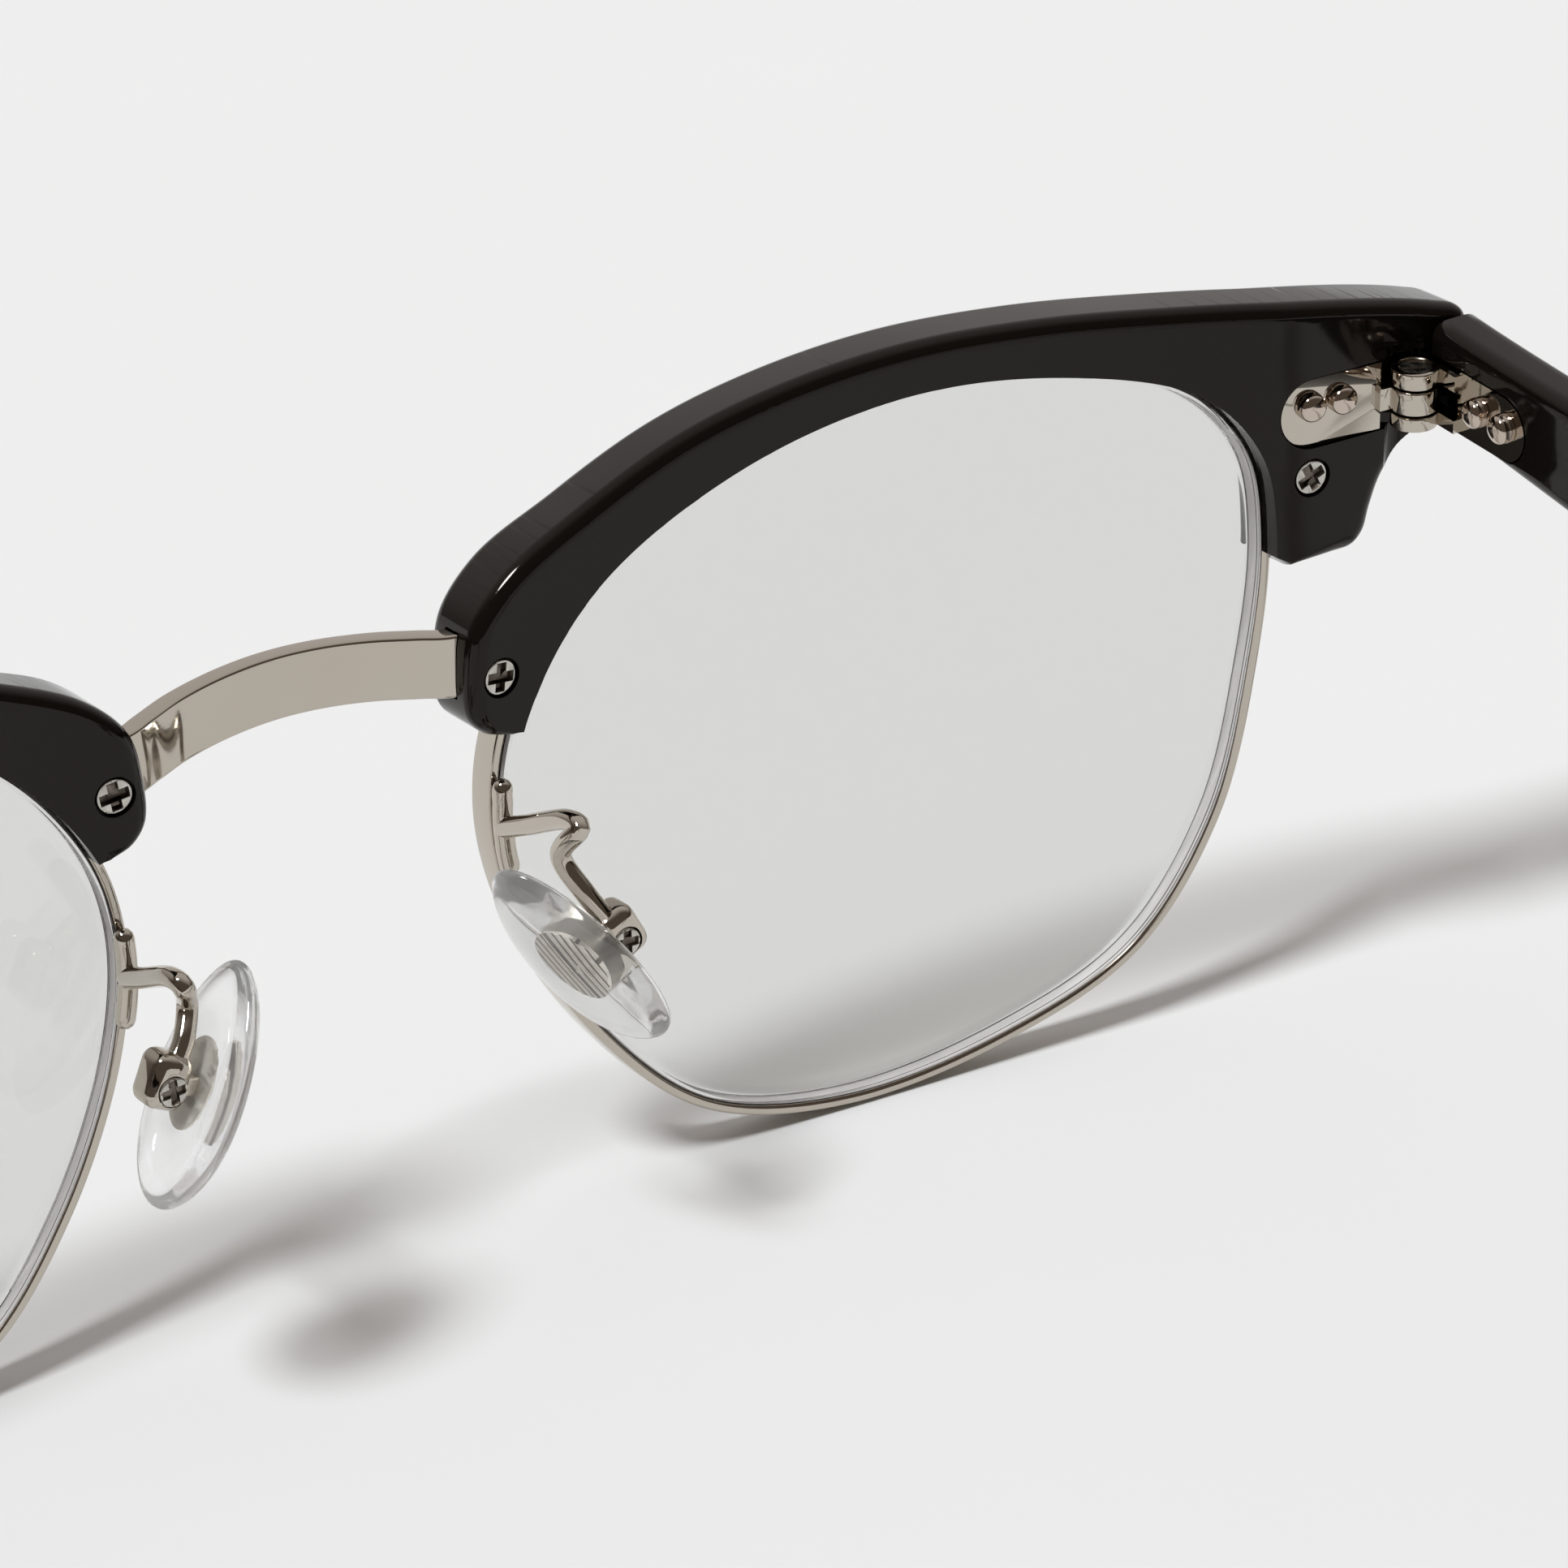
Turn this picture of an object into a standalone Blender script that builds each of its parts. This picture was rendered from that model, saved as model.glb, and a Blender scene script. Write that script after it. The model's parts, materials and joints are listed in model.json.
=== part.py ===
"""Half rim (browline) eyeglasses: acetate brows and temples on a nickel-silver front.

Metres, +Z up. X runs across the wearer's face with the wearer's left at +X, the lenses face -Y
and the temples run back along +Y. Every piece is drawn for the wearer's left side, and the right
side is its mirror image. The front's pieces use front axes: across (u), up (v) and depth (d),
where d is measured back from the curved sheet that both lenses lie on.
"""
import math

import bmesh
import bpy
from mathutils import Matrix, Vector

MM = 0.001
SIDES = (("left", 1), ("right", -1))

# Fits
SEAT_GAP = 0.25 * MM
CLEAR_CUT = 4.0 * MM
SCREW_GAP = 0.13 * MM
KNUCKLE_GAP = 0.15 * MM
JOINT_GAP = 0.3 * MM

# Front: how the lens plane leans, wraps and bows
FRONT_LEAN = math.radians(6.6)
FRONT_WRAP = math.radians(5.4)
FORM_RADIUS = 131.0 * MM
FORM_CENTRE = (37.6 * MM, -9.5 * MM)
END_START = 60.0 * MM
END_SLOPE = 0.03
END_EASE = 2.0 * MM

# Rim: the back inner edge of the eyewire, seen from the front, anticlockwise from the nose
RIM_OUTLINE = (
    (11.75, -9.0), (12.9, -15.8), (17.1, -23.8), (23.0, -29.7), (32.0, -32.1), (42.5, -31.1),
    (51.0, -27.8), (56.7, -21.0), (59.7, -12.0), (60.8, -4.5), (60.0, 1.0), (56.3, 5.5),
    (47.5, 8.6), (38.0, 9.55), (27.5, 7.7), (18.2, 3.15), (13.2, -3.2),
)
RIM_STATIONS = 66
RIM_STATION_STEPS = 4
RIM_DEPTH = 2.0 * MM
RIM_WALL = 0.46 * MM
RIM_LIP = 0.12 * MM
RIM_GROOVE = 0.22 * MM

# Lens
LENS_BACK = 0.3 * MM
LENS_THICKNESS = 2.1 * MM
LENS_BEVEL = 0.22 * MM
LENS_RINGS = (0.7, 0.35)

# Brow: outer outline from the nasal foot, over the top and round the end piece
BROW_OUTLINE = (
    (12.4, -3.9), (10.9, -3.4), (9.95, -2.2), (9.9, 0.4), (10.5, 3.1), (12.9, 5.6),
    (18.0, 8.1), (24.5, 10.6), (31.0, 11.9), (38.5, 12.45), (46.5, 12.05), (54.5, 11.05),
    (62.0, 9.9), (68.0, 8.6), (71.8, 7.5), (73.3, 6.9), (73.85, 6.2), (73.85, 1.1),
    (73.3, 0.5), (71.6, 0.25), (69.6, -0.7), (68.1, -2.3), (67.3, -4.0), (66.75, -5.5),
    (65.9, -6.25), (64.3, -6.35), (61.5, -6.35),
)
BROW_NASAL_END = (13.2 * MM, -3.95 * MM)
BROW_TEMPORAL_END = (60.8 * MM, -5.7 * MM)
BROW_LIP = 0.15 * MM
BROW_BACK = 1.6 * MM
BROW_FRONT = -3.4 * MM
BROW_EDGE_ROUND = 0.8 * MM
BROW_SLICES_ACROSS = (15, 20, 25, 30, 35, 40, 45, 50, 55, 60, 61.5, 63, 66, 70)
BROW_SLICES_UP = (-1, 6)
BROW_OUTER_POINTS = 62
BROW_INNER_POINTS = 27
CHANNEL_EXTRA = 11
CHANNEL_STEP = 4
SHOULDER_DROP = 0.7 * MM
SHOULDER_START = 12.5 * MM
SHOULDER_FULL = 18.5 * MM
SHOULDER_FADE = 21.0 * MM
SHOULDER_WIDTH = 3.0 * MM

# Brow screws
BROW_SCREW_HEAD = 2.1 * MM
BROW_SCREW_HEAD_DEPTH = 0.5 * MM
BROW_SCREW_SHANK = 1.1 * MM
BROW_SCREW_SINK = 0.1 * MM
CROSS_LENGTH = 0.62
CROSS_WIDTH = 0.3
CROSS_DEPTH = 0.6
NASAL_SCREW = (11.7 * MM, 0.0)
TEMPORAL_SCREW = (63.1 * MM, -1.0 * MM)

# Lugs of the rim, which the brow screws thread into
LUG_RADIUS = 1.35 * MM
LUG_THICKNESS = 0.85 * MM
LUG_ROOT = RIM_WALL * 0.4
NASAL_LUG_BACK = -1.5 * MM
TEMPORAL_LUG_BACK = -0.3 * MM

# Rim lock: the closing block of the split rim, behind the end piece
LOCK_PLACE = (59.0 * MM, 1.9 * MM)
LOCK_WIDTH = 1.9 * MM
LOCK_DEPTH = 1.5 * MM
LOCK_HEIGHT = 1.4 * MM
LOCK_SLIT = 0.3 * MM
LOCK_SCREW_SHANK = 0.8 * MM
LOCK_SCREW_HEAD = 1.3 * MM
LOCK_SCREW_HEAD_DEPTH = 0.4 * MM

# Bridge: half of the strap's centre line as (across, depth from the front plane, up)
BRIDGE_LINE = (
    (0.0, -2.35, 1.47), (3.0, -2.2, 1.35), (6.0, -1.7, 1.05), (8.4, -0.75, 0.8), (10.0, -0.15, 0.6),
)
BRIDGE_TAB_END = 12.6 * MM
BRIDGE_TAB_SLOPE = 0.3
BRIDGE_STATIONS = 27
BRIDGE_HEIGHT = 3.65 * MM
BRIDGE_THICKNESS = 1.3 * MM
BRIDGE_EDGE_ROUND = 0.15 * MM

# Hinge, in level axes with its origin on the hinge axis at the middle knuckle
HINGE_INSET = 4.65 * MM
HINGE_AXIS = (max(u for u, v in BROW_OUTLINE) * MM - HINGE_INSET, 7.6 * MM, 3.65 * MM)
HINGE_TURN = math.radians(5.0)
BARREL_RADIUS = 1.4 * MM
BARREL_TOP = 1.9 * MM
BARREL_BOTTOM = -1.75 * MM
MIDDLE_KNUCKLE = 1.6 * MM
HINGE_PLATE = 0.5 * MM
FRONT_PLATE_HEIGHT = 4.2 * MM
TEMPLE_PLATE_HEIGHT = 3.9 * MM
HINGE_STANDOFF = 0.12 * MM
FRONT_STANDOFF = -0.5 * MM
FRONT_PLATE_NEAR = 1.7 * MM
FRONT_PLATE_FAR = 8.3 * MM
TEMPLE_PLATE_NEAR = 2.1 * MM
TEMPLE_PLATE_FAR = 8.2 * MM
LEAF_ARM = 0.9 * MM
ARM_TUCK = 0.4 * MM
ARM_BURY = 0.6
ARM_INSET = 0.08 * MM
HINGE_SCREW_SHANK = 1.1 * MM
HINGE_SCREW_HEAD = 2.0 * MM
HINGE_SCREW_HEAD_DEPTH = 0.5 * MM
HINGE_SLOT_WIDTH = 0.3 * MM
HINGE_SLOT_DEPTH = 0.2 * MM
HINGE_SLOT_TURN = math.radians(25.0)
END_CUT = 12.0 * MM

# Hinge rivets
RIVET_SHANK = 0.8 * MM
RIVET_SINK = 0.6 * MM
RIVET_HEAD = 1.75 * MM
RIVET_DOME = 0.95 * MM
RIVET_EDGE = 0.5
RIVET_STEPS = 3
FRONT_RIVETS = (4.5 * MM, 6.55 * MM)
FRONT_RIVET_RISE = 0.6 * MM
TEMPLE_RIVETS = (4.2 * MM, 6.6 * MM)
TEMPLE_RIVET_RISE = 0.25 * MM

# Temple, behind the hinge axis: a straight bar, then the drop over the ear
TEMPLE_FACE = -0.75 * MM
TEMPLE_THICKNESS = 3.2 * MM
TEMPLE_HEIGHT = 5.9 * MM
TEMPLE_RISE = 0.95 * MM
TEMPLE_FLARE = 1.1 * MM
TEMPLE_LENGTH = 143.0 * MM
TEMPLE_BEND = 99.0 * MM
EAR_BEND_LENGTH = 30.0 * MM
TEMPLE_STEPS = 143
TEMPLE_SLOPE = math.radians(3.2)
TEMPLE_TIP_IN = 7.0 * MM
TEMPLE_MID_HEIGHT = 5.2 * MM
TEMPLE_TIP_HEIGHT = 7.4 * MM
TEMPLE_TIP_THICKNESS = 2.8 * MM
TEMPLE_STATIONS = 20
TEMPLE_FLARE_AT = 0.14
TEMPLE_MID_AT = 0.6
TEMPLE_TAIL_AT = 0.9
TEMPLE_TAIL_FALL = 0.8
TEMPLE_ROUND = 1.0 * MM

# Temple core wire
CORE_START = 9.5 * MM
CORE_LENGTH = 105.0 * MM
CORE_WIDTH = 0.8 * MM
CORE_HEIGHT = 1.8 * MM
CORE_OFFSET = 0.45 * MM
CORE_STATIONS = 14
CORE_BORE_LEAD = 2.0 * MM

# Nose pads, in front axes: (across, depth from the front plane, up)
PAD_SCREW = (14.0 * MM, 9.5 * MM, -14.0 * MM)
PAD_CENTRE = {
    "left": (12.1 * MM, 8.4 * MM, -14.5 * MM),
    "right": (11.75 * MM, 8.1 * MM, -14.4 * MM),
}
PAD_TOP_WAY = Vector((-0.53, -0.12, 0.84))
PAD_FACING = Vector((-0.773, 0.538, -0.338))
PAD_TURN = {"left": math.radians(34.0), "right": math.radians(14.0)}
PAD_LENGTH = 13.8 * MM
PAD_WIDTH = 8.0 * MM
PAD_TAPER = 0.12
PAD_DOME = 1.6 * MM
PAD_REAR = 0.45 * MM
PAD_SIDES = 20
INSERT_LENGTH = 5.2 * MM
INSERT_WIDTH = 3.6 * MM
INSERT_THICKNESS = 0.3 * MM
INSERT_SIDES = 16
SHANK_WIDTH = 1.0 * MM
PAD_BOX = 2.4 * MM
PAD_BOX_HEIGHT = 3.1 * MM
PAD_BOX_SHIFT = 0.2 * MM
PAD_BOX_RISE = 0.35 * MM
PAD_BOX_TURN = math.radians(26.0)
PAD_BOX_WALL = 0.32 * MM
PAD_BOX_ROUND = 0.75 * MM
PAD_SCREW_HEAD = 1.7 * MM
PAD_SCREW_HEAD_DEPTH = 0.35 * MM
PAD_SCREW_SHANK = 0.6 * MM

# Pad arms: where the wire leaves the rim, then the way to its corner, its waist and its box
ARM_WIRE = 1.05 * MM
ARM_ROOT = 11.9 * MM
ARM_ROOT_HEIGHT = {"left": -11.1 * MM, "right": -9.4 * MM}
ARM_REACH = (0.3, 0.84)
ARM_CORNER = Vector((0.6, 7.9, 3.0)) * MM
ARM_KNEE = Vector((-0.1, -0.15, -0.55)) * MM
ARM_WAIST = Vector((-0.8, -1.3, -2.3)) * MM
ARM_SWAY = Vector((-0.2, 0.1, 0.0)) * MM
ARM_SWAY_AT = 0.55
ARM_ENTRY = Vector((-0.2, 0.15, 0.4))
ARM_STATIONS = 18
ARM_BAR = 4.6 * MM
ARM_BAR_POINTS = 5
ARM_BAR_SHARE = 0.48

# Facets
ROUND_SIDES = 14
SMALL_SIDES = 12
RIVET_SIDES = 10
CORNER_STEPS = 3


def clear_scene():
    for item in list(bpy.data.objects):
        bpy.data.objects.remove(item)


def make_material(name, colour, roughness, metallic=0.0, alpha=1.0):
    material = bpy.data.materials.new(name)
    material.use_nodes = True
    shader = material.node_tree.nodes["Principled BSDF"]
    shader.inputs["Base Color"].default_value = (*colour, 1.0)
    shader.inputs["Roughness"].default_value = roughness
    shader.inputs["Metallic"].default_value = metallic
    shader.inputs["Alpha"].default_value = alpha
    return material


def make_empty(name, parent, location=(0.0, 0.0, 0.0), lean=0.0):
    empty = bpy.data.objects.new(name, None)
    bpy.context.scene.collection.objects.link(empty)
    empty.parent = parent
    empty.location = location
    empty.rotation_euler.x = lean
    return empty


def finish_object(name, shape, parent, side, material=None):
    """Turn a bmesh drawn for the left side into an object of the given side."""
    if side < 0:
        bmesh.ops.scale(shape, vec=(-1.0, 1.0, 1.0), verts=shape.verts)
    bmesh.ops.recalc_face_normals(shape, faces=shape.faces)
    mesh = bpy.data.meshes.new(name)
    shape.to_mesh(mesh)
    shape.free()
    mesh.shade_smooth()
    mesh.set_sharp_from_angle(angle=math.radians(35))
    item = bpy.data.objects.new(name, mesh)
    bpy.context.scene.collection.objects.link(item)
    item.parent = parent
    if material:
        mesh.materials.append(material)
    return item


def apply_tool(target, shape, operation, side):
    """Add a Boolean of the given bmesh to an object, as a hidden tool beside it."""
    tool = finish_object(f"tool_{target.name}_{len(target.modifiers)}", shape, target.parent, side)
    tool.hide_render = True
    tool.display_type = "WIRE"
    tool.matrix_local = target.matrix_local
    boolean = target.modifiers.new(tool.name, "BOOLEAN")
    boolean.operation = operation
    boolean.solver = "EXACT"
    boolean.object = tool
    return tool


def spline(points, closed, fine=12):
    """Centripetal Catmull-Rom curve through the points."""
    knots = [Vector(p) for p in points]
    count = len(knots)
    curve = []
    for i in range(count if closed else count - 1):
        b, c = knots[i], knots[(i + 1) % count]
        a = knots[i - 1] if closed or i > 0 else 2 * b - c
        d = knots[(i + 2) % count] if closed or i + 2 < count else 2 * c - b
        t1 = (b - a).length ** 0.5
        t2 = t1 + (c - b).length ** 0.5
        t3 = t2 + (d - c).length ** 0.5
        for step in range(fine):
            t = t1 + (t2 - t1) * step / fine
            ab = a.lerp(b, t / t1)
            bc = b.lerp(c, (t - t1) / (t2 - t1))
            cd = c.lerp(d, (t - t2) / (t3 - t2))
            abc = ab.lerp(bc, t / t2)
            bcd = bc.lerp(cd, (t - t1) / (t3 - t1))
            curve.append(abc.lerp(bcd, (t - t1) / (t2 - t1)))
    if not closed:
        curve.append(knots[-1])
    return curve


def resample(curve, count, closed):
    """Points at equal steps along a curve; an open one keeps both of its ends."""
    ring = curve + curve[:1] if closed else curve
    reach = [0.0]
    for a, b in zip(ring, ring[1:]):
        reach.append(reach[-1] + (b - a).length)
    steps = count if closed else count - 1
    points = []
    k = 0
    for i in range(count):
        goal = reach[-1] * i / steps
        while k < len(ring) - 2 and reach[k + 1] < goal:
            k += 1
        span = reach[k + 1] - reach[k]
        points.append(ring[k].lerp(ring[k + 1], min(1.0, (goal - reach[k]) / span)))
    return points


def in_metres(points):
    return [Vector(p) * MM for p in points]


def outward_normals(points):
    """Unit normals of a closed anticlockwise outline."""
    normals = []
    for i in range(len(points)):
        along = points[(i + 1) % len(points)] - points[i - 1]
        normals.append(Vector((along.y, -along.x)).normalized())
    return normals


def sheet_depth(u, v):
    """How far the curved sheet of the lenses lies behind the front's plane."""
    inner = min(u, END_START) - FORM_CENTRE[0]
    depth = math.tan(FRONT_WRAP) * inner + inner ** 2 / (2 * FORM_RADIUS)
    depth += (v - FORM_CENTRE[1]) ** 2 / (2 * FORM_RADIUS)
    if u > END_START:
        turn = math.tan(FRONT_WRAP) + inner / FORM_RADIUS - END_SLOPE
        beyond = u - END_START
        depth += END_SLOPE * beyond + turn * END_EASE * (1 - math.exp(-beyond / END_EASE))
    return depth


def on_sheet(u, v, d):
    return Vector((u, sheet_depth(u, v) + d, v))


def sheet_frame(u, v, d=0.0):
    """Axes at a place on the sheet: X across, Y straight back out of it, Z up."""
    step = 0.1 * MM
    here = on_sheet(u, v, 0.0)
    across = (on_sheet(u + step, v, 0.0) - here).normalized()
    up = (on_sheet(u, v + step, 0.0) - here).normalized()
    back = up.cross(across).normalized()
    up = across.cross(back)
    frame = Matrix((across, back, up)).transposed().to_4x4()
    frame.translation = here + back * d
    return frame


def loft(rings, closed):
    """Join rings of points with quads; an open run gets flat ends."""
    shape = bmesh.new()
    rows = [[shape.verts.new(point) for point in ring] for ring in rings]
    pairs = list(zip(rows, rows[1:]))
    if closed:
        pairs.append((rows[-1], rows[0]))
    size = len(rows[0])
    for row, following in pairs:
        for k in range(size):
            n = (k + 1) % size
            shape.faces.new((row[k], row[n], following[n], following[k]))
    if not closed:
        shape.faces.new(rows[0])
        shape.faces.new(reversed(rows[-1]))
    return shape


def turned(profile, sides=ROUND_SIDES):
    """A solid of revolution about Y from (radius, y) points whose ends lie on the axis."""
    shape = bmesh.new()
    for start, end in ((profile[0], profile[1]), (profile[-1], profile[-2])):
        tip = shape.verts.new((0.0, start[1], 0.0))
        ring = [shape.verts.new(p) for p in circle_points(end[0], end[1], sides)]
        for k in range(sides):
            shape.faces.new((tip, ring[k], ring[(k + 1) % sides]))
    for low, high in zip(profile[1:-2], profile[2:-1]):
        first = [shape.verts.new(p) for p in circle_points(low[0], low[1], sides)]
        second = [shape.verts.new(p) for p in circle_points(high[0], high[1], sides)]
        for k in range(sides):
            n = (k + 1) % sides
            shape.faces.new((first[k], first[n], second[n], second[k]))
    bmesh.ops.remove_doubles(shape, verts=shape.verts, dist=1e-7)
    return shape


def circle_points(radius, y, sides):
    points = []
    for k in range(sides):
        angle = math.tau * (k + 0.5) / sides
        points.append(Vector((radius * math.cos(angle), y, radius * math.sin(angle))))
    return points


def rod(radius, y0, y1, sides=ROUND_SIDES):
    return turned(((0.0, y0), (radius, y0), (radius, y1), (0.0, y1)), sides)


def block(size_x, size_y, size_z, centre=(0.0, 0.0, 0.0), rounding=0.0, segments=2):
    shape = bmesh.new()
    bmesh.ops.create_cube(shape, size=1.0)
    bmesh.ops.scale(shape, vec=(size_x, size_y, size_z), verts=shape.verts)
    bmesh.ops.translate(shape, vec=centre, verts=shape.verts)
    if rounding:
        bmesh.ops.bevel(shape, geom=shape.edges[:], offset=rounding, segments=segments,
                        profile=0.5, affect="EDGES")
    return shape


def moved(shape, matrix):
    bmesh.ops.transform(shape, matrix=matrix, verts=shape.verts)
    return shape


def upright():
    """Turns a solid drawn along Y so that it stands along Z."""
    return Matrix.Rotation(math.radians(90), 4, "X")


RIM_LINE = resample(spline(in_metres(RIM_OUTLINE), True), RIM_STATIONS * RIM_STATION_STEPS, True)
RIM_NORMALS = outward_normals(RIM_LINE)


def rim_index_near(place):
    goal = Vector(place)
    return min(range(len(RIM_LINE)), key=lambda i: (RIM_LINE[i] - goal).length)


def rim_section():
    """Eyewire section as (outward, depth): flat outside, grooved inside."""
    return (
        (-RIM_LIP, 0.0), (RIM_WALL, 0.0), (RIM_WALL, -RIM_DEPTH), (-RIM_LIP, -RIM_DEPTH),
        (RIM_GROOVE - RIM_LIP, -RIM_DEPTH / 2),
    )


def rim_rings(section, first, last, step):
    rings = []
    for i in range(first, last + 1, step):
        point = RIM_LINE[i % len(RIM_LINE)]
        normal = RIM_NORMALS[i % len(RIM_LINE)]
        ring = []
        for n, d in section:
            place = point + normal * n
            ring.append(on_sheet(place.x, place.y, d))
        rings.append(ring)
    return rings


def lug_shape(screw, lug_back, grow=0.0):
    """Tab from the rim to a brow screw, round at its far end."""
    edge = RIM_LINE[rim_index_near(screw)]
    reach = Vector(screw) - edge
    half = LUG_THICKNESS / 2 + grow
    tab = plate_outline(LUG_ROOT, reach.length + LUG_RADIUS, 2 * LUG_RADIUS, -half, half, grow)
    turn = Matrix.Rotation(math.atan2(reach.y, -reach.x), 4, "Y")
    frame = sheet_frame(screw[0], screw[1], lug_back - LUG_THICKNESS / 2)
    return moved(tab, frame @ Matrix.Translation((-reach.x, 0.0, -reach.y)) @ turn)


def lock_frame():
    """Axes at the closing block: X out from the rim, Y back, Z along the rim."""
    i = rim_index_near(LOCK_PLACE)
    point, normal = RIM_LINE[i], RIM_NORMALS[i]
    place = point + normal * (RIM_WALL * 0.5 + LOCK_WIDTH / 2)
    frame = sheet_frame(place.x, place.y, -RIM_DEPTH / 2)
    return frame @ Matrix.Rotation(-math.atan2(normal.y, normal.x), 4, "Y")


def make_rim(name, parent, side, material):
    count = len(RIM_LINE)
    shape = loft(rim_rings(rim_section(), 0, count - 1, RIM_STATION_STEPS), True)
    rim = finish_object(name, shape, parent, side, material)
    for screw, lug_back in ((NASAL_SCREW, NASAL_LUG_BACK), (TEMPORAL_SCREW, TEMPORAL_LUG_BACK)):
        apply_tool(rim, lug_shape(screw, lug_back), "UNION", side)
    whole = block(LOCK_WIDTH, LOCK_DEPTH, 2 * LOCK_HEIGHT + LOCK_SLIT)
    apply_tool(rim, moved(whole, lock_frame()), "UNION", side)
    wide = 2 * LOCK_WIDTH + 8 * RIM_WALL
    slit = moved(block(wide, RIM_DEPTH * 2, LOCK_SLIT), lock_frame())
    apply_tool(rim, slit, "DIFFERENCE", side)
    bore = rod(LOCK_SCREW_SHANK / 2 + SCREW_GAP, -2 * LOCK_HEIGHT, 2 * LOCK_HEIGHT, SMALL_SIDES)
    apply_tool(rim, moved(bore, lock_frame() @ upright()), "DIFFERENCE", side)
    for screw, lug_back in ((NASAL_SCREW, NASAL_LUG_BACK), (TEMPORAL_SCREW, TEMPORAL_LUG_BACK)):
        hole = rod(BROW_SCREW_SHANK / 2 + SCREW_GAP, -LUG_THICKNESS, LUG_THICKNESS, SMALL_SIDES)
        frame = sheet_frame(screw[0], screw[1], lug_back - LUG_THICKNESS / 2)
        apply_tool(rim, moved(hole, frame), "DIFFERENCE", side)
    return rim


def make_lock_screw(name, parent, side, material):
    top = LOCK_SLIT / 2 + LOCK_HEIGHT + SCREW_GAP
    profile = (
        (0.0, -top), (LOCK_SCREW_SHANK / 2, -top), (LOCK_SCREW_SHANK / 2, top),
        (LOCK_SCREW_HEAD / 2, top), (LOCK_SCREW_HEAD / 2, top + LOCK_SCREW_HEAD_DEPTH),
        (0.0, top + LOCK_SCREW_HEAD_DEPTH),
    )
    shape = moved(turned(profile, SMALL_SIDES), lock_frame() @ upright())
    return finish_object(name, shape, parent, side, material)


def lens_section():
    """Lens edge as (outward, depth): flat rear edge, then the bevel that sits in the groove."""
    inside = -RIM_LIP - SEAT_GAP
    ridge = inside + LENS_BEVEL
    middle = -RIM_DEPTH / 2
    front = LENS_BACK - LENS_THICKNESS
    return (
        (inside - LENS_BEVEL, LENS_BACK), (inside, middle + 2 * LENS_BEVEL), (ridge, middle),
        (inside, middle - 2 * LENS_BEVEL), (inside - LENS_BEVEL, front),
    )


def make_lens(name, parent, side, material):
    """Curved disc: the edge section swept round the rim, closed by rings towards its centre."""
    section = lens_section()
    edge = rim_rings(section, 0, len(RIM_LINE) - 1, RIM_STATION_STEPS + 1)
    middle = Vector(FORM_CENTRE)
    shape = bmesh.new()
    rows = []
    for k in range(len(section)):
        rows.append([shape.verts.new(ring[k]) for ring in edge])
    for k, depth in ((len(section) - 1, section[-1][1]), (0, section[0][1])):
        flat = [Vector((ring[k].x, ring[k].z)) for ring in edge]
        inner = []
        for share in LENS_RINGS:
            row = []
            for point in flat:
                place = middle.lerp(point, share)
                row.append(shape.verts.new(on_sheet(place.x, place.y, depth)))
            inner.append(row)
        if k:
            rows = rows + inner
        else:
            rows = inner[::-1] + rows
    count = len(edge)
    for row, following in zip(rows, rows[1:]):
        for i in range(count):
            n = (i + 1) % count
            shape.faces.new((row[i], row[n], following[n], following[i]))
    shape.faces.new(rows[0])
    shape.faces.new(rows[-1])
    return finish_object(name, shape, parent, side, material)


def brow_outline():
    """Closed outline of a brow: outer curve, then back along the rim."""
    first = rim_index_near(BROW_TEMPORAL_END)
    last = rim_index_near(BROW_NASAL_END)
    outer = resample(spline(in_metres(BROW_OUTLINE), False), BROW_OUTER_POINTS, False)
    inner = []
    for i in range(first, last + 1):
        inner.append(RIM_LINE[i] - RIM_NORMALS[i] * BROW_LIP)
    inner = resample(inner, BROW_INNER_POINTS, False)
    return outer, inner


def brow_body():
    """The outline pulled to full depth, rounded all round but for its back inner edge, then bowed."""
    outer, inner = brow_outline()
    shape = bmesh.new()
    loop = [shape.verts.new((p.x, BROW_BACK, p.y)) for p in outer + inner]
    face = shape.faces.new(loop)
    extruded = bmesh.ops.extrude_face_region(shape, geom=[face])["geom"]
    far = [item for item in extruded if isinstance(item, bmesh.types.BMVert)]
    bmesh.ops.translate(shape, vec=(0.0, BROW_FRONT - BROW_BACK, 0.0), verts=far)
    outside = {(round(p.x, 7), round(p.y, 7)) for p in outer}
    rounded = []
    for edge in shape.edges:
        a, b = edge.verts
        level = abs(a.co.y - b.co.y) < 1e-9
        on_outer = all((round(w.co.x, 7), round(w.co.z, 7)) in outside for w in (a, b))
        in_front = a.co.y < 0.0
        if level and (on_outer or in_front):
            rounded.append(edge)
    bmesh.ops.bevel(shape, geom=rounded, offset=BROW_EDGE_ROUND, segments=2, profile=0.5,
                    affect="EDGES", clamp_overlap=True)
    for axis, places in ((0, BROW_SLICES_ACROSS), (2, BROW_SLICES_UP)):
        normal = Vector((0.0, 0.0, 0.0))
        normal[axis] = 1.0
        for place in places:
            everything = shape.verts[:] + shape.edges[:] + shape.faces[:]
            bmesh.ops.bisect_plane(shape, geom=everything, dist=1e-6, plane_no=normal,
                                   plane_co=normal * place * MM)
    for vert in shape.verts:
        vert.co.z -= shoulder(vert.co)
        vert.co = on_sheet(vert.co.x, vert.co.z, vert.co.y)
    return shape


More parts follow.
